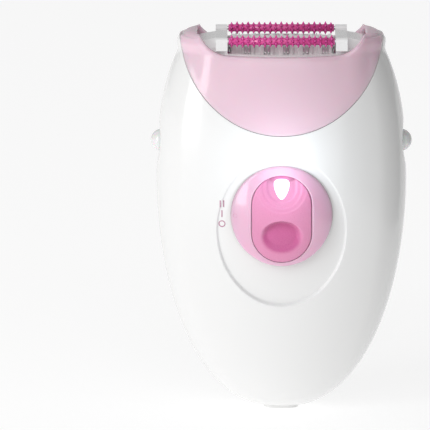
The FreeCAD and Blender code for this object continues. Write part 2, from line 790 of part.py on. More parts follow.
slot = fuse(block(("-slot_half", "slot_half"), ("-40", "40"), ("slot_floor + slot_corner", "130")),
            block(("-(slot_half - slot_corner)", "slot_half - slot_corner"), ("-40", "40"),
                  ("slot_floor", "130")),
            *[rod("Y", (side + "(slot_half - slot_corner)", "-40", "slot_floor + slot_corner"),
                  "slot_corner", "80") for side in ("", "-")],
            block(("-horn_gap_half", "horn_gap_half"), ("-horn_gap_depth", "horn_gap_depth"),
                  ("slot_floor", "130")))
node("head_collar", cut(common(shell, head_space), slot))

# ------------------------------------------------------------ head: chassis

PLUG_X = "well_half - plug_gap - 0.2"
plug_out = block(("-(%s)" % PLUG_X, PLUG_X), ("-(well_front - plug_gap)", "well_back - plug_gap"),
                 ("well_floor + 1", "split_height"))
plug_in = block(("-(%s - plug_wall)" % PLUG_X, "%s - plug_wall" % PLUG_X),
                ("-(well_front - plug_gap - plug_wall)", "well_back - plug_gap - plug_wall"),
                ("60", "split_height"))
head_inside = across("split_radius - floor_wall")
floor = common(inner_snug, cut(head_space, head_inside))
plug = cut(common(plug_out, inner_snug), head_inside)


def plate_at(low, high):
    sheet_plate = block((low, high), ("-(well_front - plug_gap - 0.5)", "well_back - plug_gap - 0.5"),
                        ("well_floor + 1", "plate_top"))
    return fuse(sheet_plate, rod("X", (low, "0", "drum_height"), "plate_boss", "plate_outer - plate_inner"))


plates = [plate_at("plate_inner", "plate_outer"), plate_at("-plate_outer", "-plate_inner")]
frame = fuse(cut(fuse(floor, plug), plug_in), *plates)
bush_hole = rod("X", ("-30", "0", "drum_height"), "bush_radius", "60")
lay_hole = rod("X", ("-30", "drive_axis", "crown_height"), "lay_radius + running_fit", "60")
transfer_hole = rod("X", ("plate_inner - 1", str(transfer.y), str(transfer.z)), "transfer_pin", "4")
gear_room = rod("X", ("plate_outer", str(transfer.y), str(transfer.z)),
                "(transfer_teeth / 2 + 0.9) * module + gear_clear", "%s - plug_wall - plate_outer" % PLUG_X)
frame = cut(frame, bush_hole, common(lay_hole, block(("-18.1", "18.1"), ("-5", "20"), ("70", "95"))),
            transfer_hole, gear_room)
node("head_chassis", frame)
drum_bushes = [cut(rod("X", (low, "0", "drum_height"), "bush_radius", "plate_outer - plate_inner"),
                   rod("X", ("-30", "0", "drum_height"), "axle_radius + running_fit", "60"))
               for low in ("plate_inner", "-plate_outer")]
node("drum_bushes", group(*drum_bushes))
cam = cut(rod("X", ("cam_face", "0", "drum_height"), "cam_radius", "plate_inner - cam_face"),
          rod("X", ("0", "0", "drum_height"), "bush_radius", "40"))
node("closing_cams", group(cam, mirrored(cam)))
cover = block(("cover_inner", "cover_inner + cover_thick"), ("-cover_half", "cover_half"),
              ("cover_low", "drum_height + cover_rise"))
cover_posts = [rod("X", ("plate_outer", side + "(cover_half - cover_post)", "drum_height - 1.6"),
                   "cover_post", "cover_inner - plate_outer") for side in ("", "-")]
node("gear_cover", fuse(cover, *cover_posts))
node("transfer_pin", rod("X", ("plate_inner", str(transfer.y), str(transfer.z)), "transfer_pin",
                         "gear_plane + gear_width + 0.3 - plate_inner"))

# ------------------------------------------------------------- head: gears

crown_ring = pitch_radius("crown_teeth")
crown_tip = pitch_radius("pinion_teeth") - 0.9 * size("module")
crown_root = pitch_radius("pinion_teeth") + 1.35 * size("module")
crown_half = size("crown_face") / 2
crown_disc = rod("X", (str(crown_root), "drive_axis", "crown_height"),
                 str(crown_ring + crown_half), "crown_plate")
rack = [(crown_root + 0.1, 0.5), (crown_tip, 0.5)]
tooth_half = math.pi * size("module") / 4 - size("backlash") / 2
slope = math.tan(math.radians(20))
teeth = []
for k in range(int(size("crown_teeth"))):
    wide = tooth_half + (crown_root + 0.1 - pitch_radius("pinion_teeth")) * slope
    slim = tooth_half - (pitch_radius("pinion_teeth") - crown_tip) * slope
    tooth = prism([Vector(crown_root + 0.1, -wide, 0), Vector(crown_root + 0.1, wide, 0),
                   Vector(crown_tip, slim, 0), Vector(crown_tip, -slim, 0)],
                  "Z", ("0", "0", str(-crown_ring - crown_half)), "crown_face")
    angle = 360.0 * k / size("crown_teeth")
    teeth.append(moved(tooth, turn=Rotation(Vector(1, 0, 0), angle)))
crown_teeth = moved(group(*teeth), y="drive_axis", z="crown_height")
crown = fuse(crown_disc, crown_teeth, rod("X", (str(crown_root), "drive_axis", "crown_height"), "3", "5"))
lay_bore = rod("X", ("-30", "drive_axis", "crown_height"), "lay_radius", "60")
node("crown_wheel", cut(crown, lay_bore))
node("lay_gear", cut(spur("lay_teeth", lay_turn, "gear_plane", "drive_axis", "crown_height", "gear_width"),
                     lay_bore))
node("lay_shaft", rod("X", ("-plate_outer", "drive_axis", "crown_height"), "lay_radius",
                      "plate_outer + gear_plane + gear_width"))
transfer_bore = rod("X", ("0", str(transfer.y), str(transfer.z)), "transfer_pin + running_fit", "60")
node("transfer_gear", cut(spur("transfer_teeth", transfer_turn, "gear_plane", str(transfer.y),
                               str(transfer.z), "gear_width"), transfer_bore))
drum_bore = rod("X", ("-30", "0", "drum_height"), "axle_radius", "60")
node("drum_gear", cut(spur("drum_teeth", drum_turn, "gear_plane", "0", "drum_height", "gear_width"),
                      drum_bore))

# ------------------------------------------------------ head: tweezer drum

node("drum_axle", rod("X", ("-(plate_outer + 0.3)", "0", "drum_height"), "axle_radius",
                      "plate_outer + 0.3 + gear_plane + gear_width + 0.2"))
core = rod("X", ("-drum_half", "0", "drum_height"), "drum_core_radius", "drum_half * 2")
first_disc = "-(drum_discs - 1) / 2 * disc_pitch"
discs = [rod("X", ("%s + %d * disc_pitch - disc_width / 2" % (first_disc, k), "0", "drum_height"),
             "disc_lobe_radius", "disc_width") for k in range(int(size("drum_discs")))]


def bar_point(k):
    angle = math.radians(45 + 90 * k)
    return "bar_offset * %.6f" % math.cos(angle), "drum_height + bar_offset * %.6f" % math.sin(angle)


bar_bores = [rod("X", ("-30", bar_point(k)[0], bar_point(k)[1]), "bar_bore", "60") for k in range(4)]
scoops = []
for k in range(4):
    scoop = rod("X", ("-30", "0", "10.2"), "3.2", "60")
    scoops.append(moved(moved(scoop, turn=Rotation(Vector(1, 0, 0), 90 * k)), z="drum_height"))
node("drum_core", cut(fuse(core, *discs), drum_bore, *bar_bores, *scoops))


def blade(k, low, bore):
    """Thin steel blade in one gap, standing out through the disc edge."""
    flat = block((low, "%s + blade_thick" % low), ("-blade_half_width", "blade_half_width"),
                 ("drum_core_radius", "blade_radius + 1"))
    turned = moved(moved(flat, turn=Rotation(Vector(1, 0, 0), 90 * k - 45)), z="drum_height")
    limit = rod("X", ("-30", "0", "drum_height"), "blade_radius", "60")
    blank = common(turned, limit)
    core_room = rod("X", ("-30", "0", "drum_height"), "drum_core_radius", "60")
    if bore:
        hole = rod("X", ("-30", bar_point(k)[0], bar_point(k)[1]), "bar_bore", "60")
        return cut(blank, core_room, hole)
    return cut(blank, core_room)


def gap_start(j):
    return "(%s + %d * disc_pitch + disc_width / 2)" % (first_disc, j)


fixed = []
for k in range(4):
    for j in range(k % 2, int(size("drum_discs")) - 1, 2):
        fixed.append(blade(k, gap_start(j), True))
node("fixed_tweezers", group(*fixed))
for k in range(4):
    moving = [blade(k, "%s + 0.95" % gap_start(j), False)
              for j in range(k % 2, int(size("drum_discs")) - 1, 2)]
    stick = rod("X", ("-bar_half", bar_point(k)[0], bar_point(k)[1]), "bar_radius", "bar_half * 2")
    node("clamp_bar_%d" % (k + 1), fuse(stick, *moving))

# ------------------------------------------------------------ massage cap

def cap_form(inset, low, wide_at, length):
    """Upright bar with the outline of the skin at one height, set in."""
    thing = fresh("Part::Extrusion", "cap_form")
    thing.Base = lens(size(low), inset, size(wide_at))
    thing.DirMode = "Custom"
    thing.Dir = Vector(0, 0, 1)
    thing.Solid = True
    return bind(thing, LengthFwd=length)


cap_inset = size("wall") + size("cap_clear")
rail_form = cap_form(cap_inset, "cap_base", "cap_rail", "cap_rail - cap_base")
cap_limit = cap_form(cap_inset, "cap_base", "side_deck_inner", "side_deck_inner - cap_base")
rail = common(rail_form, block(("-cap_half", "cap_half"), ("-30", "30"), ("cap_base", "cap_rail")))
rear_deck = common(cap_limit, block(("-cap_half", "cap_half"), ("-8", "30"), ("cap_base", "deck_top")))
deck_side = prism([Vector(0, -size("side_deck_foot"), 0),
                   Vector(0, -size("side_deck_foot"), size("side_deck_step")),
                   Vector(0, -size("side_deck_front"), size("side_deck_inner") - size("cap_base")),
                   Vector(0, size("side_deck_back"), size("side_deck_inner") - size("cap_base")),
                   Vector(0, size("side_deck_back") + 1.5, 0)],
                  "X", ("post_outer - 1", "0", "cap_base"), "cap_half - post_outer + 1")
deck_front = prism([Vector(0, 0, 0), Vector(size("cap_half"), 0, 0),
                    Vector(size("cap_half"), 0, size("side_deck_outer") - size("cap_base")),
                    Vector(size("post_outer"), 0, size("side_deck_inner") - size("cap_base")),
                    Vector(0, 0, size("side_deck_inner") - size("cap_base"))],
                   "Y", ("0", "-30", "cap_base"), "60")
side_deck = common(deck_side, deck_front, cap_limit)
post_points = [Vector(0, -size("post_front"), 0.5),
               Vector(0, -size("post_front"), 2.0),
               Vector(0, -size("roller_offset") - size("front_boss"),
                      size("front_roller_height") - size("cap_base")),
               Vector(0, -size("post_flat_front"), size("post_top") - size("cap_base")),
               Vector(0, size("post_flat_back"), size("post_top") - size("cap_base")),
               Vector(0, size("roller_offset") - size("rear_boss"),
                      size("rear_roller_height") - 0.8 - size("cap_base")),
               Vector(0, size("post_back"), size("rear_roller_height") - 0.8 - size("cap_base")),
               Vector(0, size("post_back"), 0.5)]
post = fuse(prism(post_points, "X", ("cap_window", "0", "cap_base"), "post_outer - cap_window"),
            rod("X", ("cap_window", "roller_offset", "rear_roller_height"), "rear_boss",
                "post_outer - cap_window"),
            rod("X", ("cap_window", "-roller_offset", "front_roller_height"), "front_boss",
                "post_outer - cap_window"))
window_form = cap_form(cap_inset + size("cap_rim"), "drum_height", "cap_rail", "20")
window_bar = block(("-cap_window", "cap_window"), ("-30", "30"), ("100", "120"))
window_hole = fuse(common(window_form, window_bar),
                   block(("-cap_window", "cap_window"), ("-cap_window_depth", "cap_window_depth"),
                         ("100", "120")))
cam_room = block(("drum_half + 0.4", "plate_outer + 0.3"), ("-(cam_radius + 1.2)", "cam_radius + 1.2"),
                 ("100", "drum_height + cam_radius + 0.4"))
cover_room = block(("plate_outer", "cover_inner + cover_thick + 0.7"),
                   ("-(cover_half + 1)", "cover_half + 2"),
                   ("100", "drum_height + cover_rise + 1.4"))
hollow = fuse(cam_room, cover_room)
lip_at_post = ("slot_floor + slot_corner"
               " - sqrt(slot_corner ^ 2 - (post_outer - slot_half + slot_corner) ^ 2)")
over_lip = block(("-30", "30"), ("-post_front + 0.2", "30"), (lip_at_post + " + cap_clear", "130"))
post = common(post, fuse(cap_limit, over_lip))
cap = cut(fuse(rail, rear_deck, side_deck, mirrored(side_deck), post, mirrored(post)),
          window_hole, hollow, mirrored(hollow))
PINS = (("front", "-roller_offset", "front_roller_height"), ("rear", "roller_offset", "rear_roller_height"))
pin_bores = [rod("X", ("-roller_half - 2.3", y, z), "pin_radius", "roller_half * 2 + 4.6")
             for side, y, z in PINS]
node("cap_frame", cut(cap, *pin_bores))
for side, y, z in PINS:
    node(side + "_roller_pin", rod("X", ("-roller_half - 2.3", y, z), "pin_radius",
                                   "roller_half * 2 + 4.6"))
    rows = int(size("roller_rows"))
    start = -(rows - 1) / 2 * size("roller_pitch")
    ridge_half = size("roller_pitch") / 2 - 0.2
    profile = [Vector(-size("roller_half"), size("pin_radius") + size("running_fit"), 0),
               Vector(-size("roller_half"), size("roller_core"), 0)]
    for k in range(rows):
        middle = start + k * size("roller_pitch")
        profile += [Vector(middle - ridge_half, size("roller_core"), 0),
                    Vector(middle - 0.1, size("roller_radius"), 0),
                    Vector(middle + 0.1, size("roller_radius"), 0),
                    Vector(middle + ridge_half, size("roller_core"), 0)]
    profile += [Vector(size("roller_half"), size("roller_core"), 0),
                Vector(size("roller_half"), size("pin_radius") + size("running_fit"), 0)]
    outline = fresh("Part::Polygon", "ridges")
    outline.Nodes = profile
    outline.Close = True
    turned = fresh("Part::Revolution", "turned")
    turned.Source = outline
    turned.Axis = Vector(1, 0, 0)
    turned.Base = Vector()
    turned.Angle = 360
    turned.Solid = True
    place(turned, "Z", ("0", y, z))
    node(side + "_roller", turned)

doc.recompute()

problems = []
for thing in doc.Objects:
    if "Invalid" in thing.State or "Error" in thing.State:
        problems.append("%s (%s): %s" % (thing.Name, thing.Label, thing.State))
for name, thing in nodes.items():
    if thing.Shape.isNull() or not thing.Shape.isValid():
        problems.append("%s: no valid shape" % name)
    elif not thing.Shape.Solids:
        problems.append("%s: no solid" % name)
if problems:
    raise RuntimeError("; ".join(problems))

for name, thing in nodes.items():
    thing.Shape.exportStep("parts/%s.step" % name)
    box = thing.Shape.BoundBox
    print("%-20s %2d solids %9.1f mm3  x %.1f..%.1f y %.1f..%.1f z %.1f..%.1f" % (
        name, len(thing.Shape.Solids), thing.Shape.Volume,
        box.XMin, box.XMax, box.YMin, box.YMax, box.ZMin, box.ZMax))
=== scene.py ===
import math

import bmesh
import bpy
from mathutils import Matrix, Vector


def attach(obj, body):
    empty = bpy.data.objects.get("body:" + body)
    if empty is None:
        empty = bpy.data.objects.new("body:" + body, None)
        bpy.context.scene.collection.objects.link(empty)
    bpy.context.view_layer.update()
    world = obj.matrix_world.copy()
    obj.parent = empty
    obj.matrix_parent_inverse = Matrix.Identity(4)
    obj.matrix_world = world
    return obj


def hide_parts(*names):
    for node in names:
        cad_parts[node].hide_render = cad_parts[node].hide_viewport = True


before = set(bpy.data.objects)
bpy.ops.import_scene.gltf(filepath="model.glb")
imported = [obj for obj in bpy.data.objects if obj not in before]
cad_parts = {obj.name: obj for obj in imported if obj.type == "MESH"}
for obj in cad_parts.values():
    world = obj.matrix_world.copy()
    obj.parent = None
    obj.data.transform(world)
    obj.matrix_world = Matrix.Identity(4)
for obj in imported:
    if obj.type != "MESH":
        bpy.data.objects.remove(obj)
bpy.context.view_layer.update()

MM = 0.001

# ---------------------------------------------------------------- studio
# A pale table top, a soft box from the left, a weaker one from the right, a large one in front
# and above, a grey flag that darkens the right side, and a long lens looking slightly down.

VIEW_TILT = math.radians(12.0)
LENS_DISTANCE = 3.0
SHOWN_WIDTH = 0.1247
AIM = Vector((-0.0192, 0.0, 0.0567))

camera_data = bpy.data.cameras.new("camera")
camera_data.sensor_width = 36.0
camera_data.lens = 36.0 * LENS_DISTANCE / SHOWN_WIDTH
camera_data.clip_end = 20.0
camera = bpy.data.objects.new("camera", camera_data)
camera.location = AIM + LENS_DISTANCE * Vector((0.0, -math.cos(VIEW_TILT), math.sin(VIEW_TILT)))
camera.rotation_euler = (math.pi / 2 - VIEW_TILT, 0.0, 0.0)
bpy.context.scene.collection.objects.link(camera)
bpy.context.scene.camera = camera

table = bpy.data.meshes.new("table_top")
table.from_pydata([(-4, -4, 0), (4, -4, 0), (4, 4, 0), (-4, 4, 0)], [], [(0, 1, 2, 3)])
table_top = bpy.data.objects.new("table_top", table)
bpy.context.scene.collection.objects.link(table_top)
paper = bpy.data.materials.new("white_paper")
paper.use_nodes = True
paper_shader = paper.node_tree.nodes["Principled BSDF"]
paper_shader.inputs["Base Color"].default_value = (0.40, 0.40, 0.40, 1)
paper_shader.inputs["Roughness"].default_value = 0.9
paper_shader.inputs["Specular IOR Level"].default_value = 0.1
paper_shader.inputs["Emission Color"].default_value = (1, 1, 1, 1)
paper_shader.inputs["Emission Strength"].default_value = 0.72
table.materials.append(paper)


def soft_box(name, at, aim, width, height, watts):
    light = bpy.data.lights.new(name, "AREA")
    light.shape = "RECTANGLE"
    light.size = width
    light.size_y = height
    light.energy = watts
    lamp = bpy.data.objects.new(name, light)
    lamp.location = at
    lamp.rotation_euler = (Vector(aim) - Vector(at)).to_track_quat("-Z", "Y").to_euler()
    bpy.context.scene.collection.objects.link(lamp)


soft_box("left_soft_box", (-0.60, -0.45, 0.25), (0, 0, 0.06), 0.22, 0.60, 1.7)
soft_box("right_soft_box", (0.75, -0.10, 0.25), (0, 0, 0.06), 0.10, 0.50, 0.25)
soft_box("front_soft_box", (-0.10, -0.95, 0.75), (0, 0, 0.06), 0.80, 0.80, 2.1)

FLAG_X = 0.20
FLAG_DEPTH = (-0.30, 0.10)
FLAG_HEIGHT = (0.001, 0.40)
flag = bpy.data.meshes.new("grey_flag")
flag.from_pydata([(FLAG_X, FLAG_DEPTH[0], FLAG_HEIGHT[0]), (FLAG_X, FLAG_DEPTH[1], FLAG_HEIGHT[0]),
                  (FLAG_X, FLAG_DEPTH[1], FLAG_HEIGHT[1]), (FLAG_X, FLAG_DEPTH[0], FLAG_HEIGHT[1])],
                 [], [(0, 1, 2, 3)])
grey_flag = bpy.data.objects.new("grey_flag", flag)
bpy.context.scene.collection.objects.link(grey_flag)
flag_grey = bpy.data.materials.new("flag_grey")
flag_grey.use_nodes = True
flag_shader = flag_grey.node_tree.nodes["Principled BSDF"]
flag_shader.inputs["Base Color"].default_value = (0.12, 0.12, 0.12, 1)
flag_shader.inputs["Roughness"].default_value = 0.9
flag.materials.append(flag_grey)
grey_flag.visible_camera = False
world = bpy.data.worlds.new("studio_air")
bpy.context.scene.world = world
world.use_nodes = True
world.node_tree.nodes["Background"].inputs["Color"].default_value = (1.0, 1.0, 1.0, 1)
world.node_tree.nodes["Background"].inputs["Strength"].default_value = 0.46
bpy.context.scene.view_settings.view_transform = "Standard"

# ------------------------------------------------------- power inlet
# The two-pin socket at the foot of the handle: a moulded white nose with brass pins pressed
# through its back plate.  The wall material below is shared by every unpainted moulding.


def moulded(name, colour, roughness, mottle=0.02, grain=5000.0, bump=0.08, coat=0.0, inner=0.0):
    """Moulded plastic: faint flow marks in the colour, a fine skin in gloss and bump."""
    material = bpy.data.materials.new(name)
    material.use_nodes = True
    nodes = material.node_tree.nodes
    links = material.node_tree.links
    shader = nodes["Principled BSDF"]
    place = nodes.new("ShaderNodeTexCoord")
    flow = nodes.new("ShaderNodeTexNoise")
    flow.inputs["Scale"].default_value = 45.0
    flow.inputs["Detail"].default_value = 3.0
    links.new(place.outputs["Object"], flow.inputs["Vector"])
    blend = nodes.new("ShaderNodeMix")
    blend.data_type = "RGBA"
    blend.inputs["A"].default_value = (*[c * (1 - mottle) for c in colour], 1)
    blend.inputs["B"].default_value = (*[min(1.0, c * (1 + mottle)) for c in colour], 1)
    links.new(flow.outputs["Fac"], blend.inputs["Factor"])
    links.new(blend.outputs["Result"], shader.inputs["Base Color"])
    skin = nodes.new("ShaderNodeTexNoise")
    skin.inputs["Scale"].default_value = grain
    skin.inputs["Detail"].default_value = 2.0
    links.new(place.outputs["Object"], skin.inputs["Vector"])
    gloss = nodes.new("ShaderNodeMapRange")
    gloss.inputs["To Min"].default_value = roughness * 0.85
    gloss.inputs["To Max"].default_value = roughness * 1.15
    links.new(skin.outputs["Fac"], gloss.inputs["Value"])
    links.new(gloss.outputs["Result"], shader.inputs["Roughness"])
    relief = nodes.new("ShaderNodeBump")
    relief.inputs["Strength"].default_value = bump
    relief.inputs["Distance"].default_value = 0.00003
    links.new(skin.outputs["Fac"], relief.inputs["Height"])
    links.new(relief.outputs["Normal"], shader.inputs["Normal"])
    shader.inputs["Coat Weight"].default_value = coat
    shader.inputs["Coat Roughness"].default_value = 0.06
    if inner:
        shader.inputs["Subsurface Weight"].default_value = inner
        shader.inputs["Subsurface Radius"].default_value = (1.0, 0.5, 0.7)
        shader.inputs["Subsurface Scale"].default_value = 0.003
    return material


def turned_metal(name, colour, roughness, stretch, grain=600.0):
    """Bare metal with fine drawn or turned lines."""
    material = bpy.data.materials.new(name)
    material.use_nodes = True
    nodes = material.node_tree.nodes
    links = material.node_tree.links
    shader = nodes["Principled BSDF"]
    shader.inputs["Metallic"].default_value = 1.0
    place = nodes.new("ShaderNodeTexCoord")
    stretched = nodes.new("ShaderNodeMapping")
    stretched.inputs["Scale"].default_value = stretch
    links.new(place.outputs["Object"], stretched.inputs["Vector"])
    lines = nodes.new("ShaderNodeTexNoise")
    lines.inputs["Scale"].default_value = grain
    lines.inputs["Detail"].default_value = 4.0
    links.new(stretched.outputs["Vector"], lines.inputs["Vector"])
    blend = nodes.new("ShaderNodeMix")
    blend.data_type = "RGBA"
    blend.inputs["A"].default_value = (*[c * 0.86 for c in colour], 1)
    blend.inputs["B"].default_value = (*[min(1.0, c * 1.08) for c in colour], 1)
    links.new(lines.outputs["Fac"], blend.inputs["Factor"])
    links.new(blend.outputs["Result"], shader.inputs["Base Color"])
    gloss = nodes.new("ShaderNodeMapRange")
    gloss.inputs["To Min"].default_value = roughness * 0.7
    gloss.inputs["To Max"].default_value = roughness * 1.3
    links.new(lines.outputs["Fac"], gloss.inputs["Value"])
    links.new(gloss.outputs["Result"], shader.inputs["Roughness"])
    relief = nodes.new("ShaderNodeBump")
    relief.inputs["Strength"].default_value = 0.08
    relief.inputs["Distance"].default_value = 0.0001
    links.new(lines.outputs["Fac"], relief.inputs["Height"])
    links.new(relief.outputs["Normal"], shader.inputs["Normal"])
    return material


def finish(material, *node_names):
    """Give carried pieces their real finish."""
    for name in node_names:
        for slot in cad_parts[name].material_slots:
            slot.material = material


socket_white = moulded("socket_white", (0.86, 0.86, 0.85), 0.35, bump=0.03)
contact_brass = turned_metal("contact_brass", (0.80, 0.62, 0.30), 0.25, (1, 1, 0.1))
finish(socket_white, "power_socket")
finish(contact_brass, "contact_pins", "motor_terminals")

# ------------------------------------------------------------- motor
# A small flat-sided direct-current motor: drawn steel can, black end cap, sintered magnets,
# brass bushes, a rubber sleeve, and a steel bracket screwed under the drive well.

can_steel = turned_metal("can_steel", (0.60, 0.61, 0.63), 0.32, (1, 1, 0.05))
bright_steel = turned_metal("bright_steel", (0.78, 0.79, 0.80), 0.18, (0.2, 1, 1))
end_cap_black = moulded("end_cap_black", (0.03, 0.03, 0.035), 0.45, mottle=0.2)
magnet_grey = moulded("magnet_grey", (0.07, 0.07, 0.075), 0.6, mottle=0.3, bump=0.1)
sleeve_rubber = moulded("sleeve_rubber", (0.04, 0.04, 0.045), 0.8, mottle=0.2, bump=0.15)
winding_copper = turned_metal("winding_copper", (0.72, 0.33, 0.16), 0.30, (1, 1, 12), 900.0)
bush_brass = turned_metal("bush_brass", (0.74, 0.58, 0.28), 0.35, (1, 1, 6))
finish(can_steel, "motor_can", "motor_bracket", "armature")
finish(bright_steel, "bracket_screws", "rotor_shaft")
finish(end_cap_black, "motor_end_cap")
finish(magnet_grey, "motor_magnets")
finish(sleeve_rubber, "motor_sleeve")
finish(winding_copper, "rotor_windings", "commutator")
finish(bush_brass, "motor_bushes", "motor_pinion")

# ------------------------------------------------------- electronics
# A green board behind the switch with the slide switch's case, a lamp, a capacitor, a choke
# and three diodes soldered to it.

board_green = moulded("board_green", (0.03, 0.17, 0.07), 0.35, mottle=0.25, grain=4000.0, bump=0.3)
case_black = moulded("case_black", (0.025, 0.025, 0.03), 0.5, mottle=0.2)
can_sleeve = moulded("can_sleeve", (0.03, 0.05, 0.12), 0.35, mottle=0.15)
lamp_clear = moulded("lamp_clear", (0.85, 0.87, 0.90), 0.1, coat=0.5)
finish(board_green, "circuit_board")
finish(case_black, "switch_case", "diodes")
finish(can_sleeve, "capacitor")
finish(magnet_grey, "choke")
finish(lamp_clear, "indicator_led")

# ------------------------------------------------ handle: inner deck
# The satin white moulding that closes the handle under the head and forms the well that the
# head's gear box drops into.

deck_white = moulded("deck_white", (0.88, 0.88, 0.88), 0.45, bump=0.05)
finish(deck_white, "handle_deck")
finish(can_steel, "housing_screws")

# ------------------------------------------- handle: housing halves
# Two glossy white shells that meet on the middle plane.  Their outline at each height is four
# arcs that meet smoothly; the head's round parting line trims them at the top.  Each is made
# as a sheet of its outer face, then given its wall and a small rounding at every edge.

BODY_HALF = 36.2
WIDEST = 68.9
UPPER_REACH = 58.5
LOWER_POWER = 2.3
UPPER_POWER = 2.5
DEPTH_SHARE = {-1: 0.54, 1: 0.566}
SIDE_SHARE = 0.40
FLARE = 1.9
FLARE_START = 105.5
FLARE_END = 109.5
BASE = 1.0
SPLIT_HEIGHT = 113.3
SPLIT_RADIUS = 29.57
WALL = 1.7
EDGE_ROUND = 0.16


def half_width(z):
    if z < WIDEST:
        return BODY_HALF * (1 - ((WIDEST - z) / WIDEST) ** 2) ** (1 / LOWER_POWER)
    plain = BODY_HALF * math.sqrt(1 - ((z - WIDEST) / UPPER_REACH) ** UPPER_POWER)
    rise = min(1.0, max(0.0, (z - FLARE_START) / (FLARE_END - FLARE_START)))
    return plain + FLARE * rise * rise * (3 - 2 * rise)


def arcs(z, side):
    """Corner centre, corner radius, face radius and face centre of one half outline."""
    half = half_width(z)
    depth = DEPTH_SHARE[side] * half
    corner = SIDE_SHARE * half
    centre = half - corner
    face = (centre ** 2 + depth ** 2 - corner ** 2) / (2 * (depth - corner))
    return centre, corner, face, face - depth


def skin_point(share, z, side):
    """Point on the skin: share runs 0 to 1 from the left edge round to the right edge."""
    centre, corner, face, back = arcs(z, side)
    turn = math.atan2(back, centre)
    face_half = face * (math.pi / 2 - turn)
    total = 2 * (corner * turn + face_half)
    gone = (share - 0.5) * total
    away = abs(gone)
    if away < face_half:
        x = face * math.sin(away / face)
        y = face * math.cos(away / face) - back
    else:
        angle = math.pi / 2 - turn + (away - face_half) / corner
        x = centre + corner * math.sin(angle)
        y = corner * math.cos(angle)
    return math.copysign(x, gone), side * y


def skin_depth(x, z, side):
    """How far the skin stands out from the middle plane at a place."""
    centre, corner, face, back = arcs(z, side)
    away = abs(x)
    if away < face * math.cos(math.atan2(back, centre)):
        return math.sqrt(face * face - away * away) - back
    return math.sqrt(max(0.0, corner ** 2 - (away - centre) ** 2))


def parting(x, radius):
    return SPLIT_HEIGHT - math.sqrt(radius ** 2 - x ** 2) if abs(x) < radius else SPLIT_HEIGHT


def meet(share, side, limit, low, high):
    """Height where one upright line of the skin meets a limit given over x."""
    for _ in range(40):
        middle = (low + high) / 2
        if middle < limit(skin_point(share, middle, side)[0]):
            low = middle
        else:
            high = middle
    return (low + high) / 2


NOSE_HALF = 5.1
NOSE_ROUND = 3.3


def nose_point(share, side):
    """Edge of the inlet's hole, walked in step with the skin."""
    straight = NOSE_HALF - NOSE_ROUND
    arc = NOSE_ROUND * math.pi / 2
    gone = (share - 0.5) * 2 * (straight + arc)
    away = abs(gone)
    if away < straight:
        x, y = away, NOSE_ROUND
    else:
        angle = (away - straight) / NOSE_ROUND
        x, y = straight + NOSE_ROUND * math.sin(angle), NOSE_ROUND * math.cos(angle)
    return math.copysign(x, gone), side * y


def half_shell(side, columns, rows):
    """Outer face of one housing half, from the inlet's hole up to the parting line."""
    sheet = bmesh.new()
    grid = []
    for i in range(columns + 1):
        share = i / columns
        top = meet(share, side, lambda x: parting(x, SPLIT_RADIUS), 80.0, 111.0)
        column = []
        edge = skin_point(share, BASE, side)
        hole = nose_point(share, side)
        for k in range(4):
            mix = k / 4
            column.append(sheet.verts.new((hole[0] + (edge[0] - hole[0]) * mix,
                                           hole[1] + (edge[1] - hole[1]) * mix, BASE)))
        for j in range(rows + 1):
            z = BASE + (top - BASE) * (j / rows) ** 1.7
            x, y = skin_point(share, z, side)
            column.append(sheet.verts.new((x, y, z)))
        grid.append(column)
    for left, right in zip(grid, grid[1:]):
        for j in range(len(left) - 1):
            sheet.faces.new((left[j], right[j], right[j + 1], left[j + 1]))
    return sheet


SCALLOP_RADIUS = 14.5
SCALLOP_REACH = 34.5
BUTTON_HEIGHT = 79.0
BUTTON_HOLE = 3.5


def press_scallops(sheet):
    """Round hollows in the sides where the fingers reach the release buttons."""
    for vert in sheet.verts:
        middle_x = math.copysign(SCALLOP_REACH + SCALLOP_RADIUS, vert.co.x)
        centre = Vector((middle_x, 0, BUTTON_HEIGHT))
        away = vert.co - centre
        deep = SCALLOP_RADIUS - away.length
        if deep > -1.0:
            eased = 0.5 * (deep + math.sqrt(deep * deep + 0.12)) if deep < 1.0 else deep
            vert.co = vert.co + away.normalized() * max(0.0, eased)


def open_hole(sheet, inside, snap):
    """Clear the faces inside an outline and lay the edge that is left on the outline."""
    doomed = [f for f in sheet.faces if any(inside(v.co) for v in f.verts)]
    rim = {v for f in doomed for v in f.verts if any(g not in doomed for g in v.link_faces)}
    bmesh.ops.delete(sheet, geom=doomed, context="FACES")
    rim = [v for v in rim if v.is_valid]
    for vert in rim:
        vert.co = snap(vert.co)
    return rim


def button_inside(co):
    return abs(co.x) > 30 and math.hypot(co.y, co.z - BUTTON_HEIGHT) < BUTTON_HOLE


def button_snap(co):
    reach = math.hypot(co.y, co.z - BUTTON_HEIGHT)
    y = co.y * BUTTON_HOLE / reach
    z = BUTTON_HEIGHT + (co.z - BUTTON_HEIGHT) * BUTTON_HOLE / reach
    centre = SCALLOP_REACH + SCALLOP_RADIUS
    x = centre - math.sqrt(SCALLOP_RADIUS ** 2 - BUTTON_HOLE ** 2)
    return Vector((math.copysign(x, co.x), y, z))


def loop_order(rim, around):
    """Edge vertices sorted round a centre, given as a function of a place."""
    return sorted(rim, key=lambda v: around(v.co))


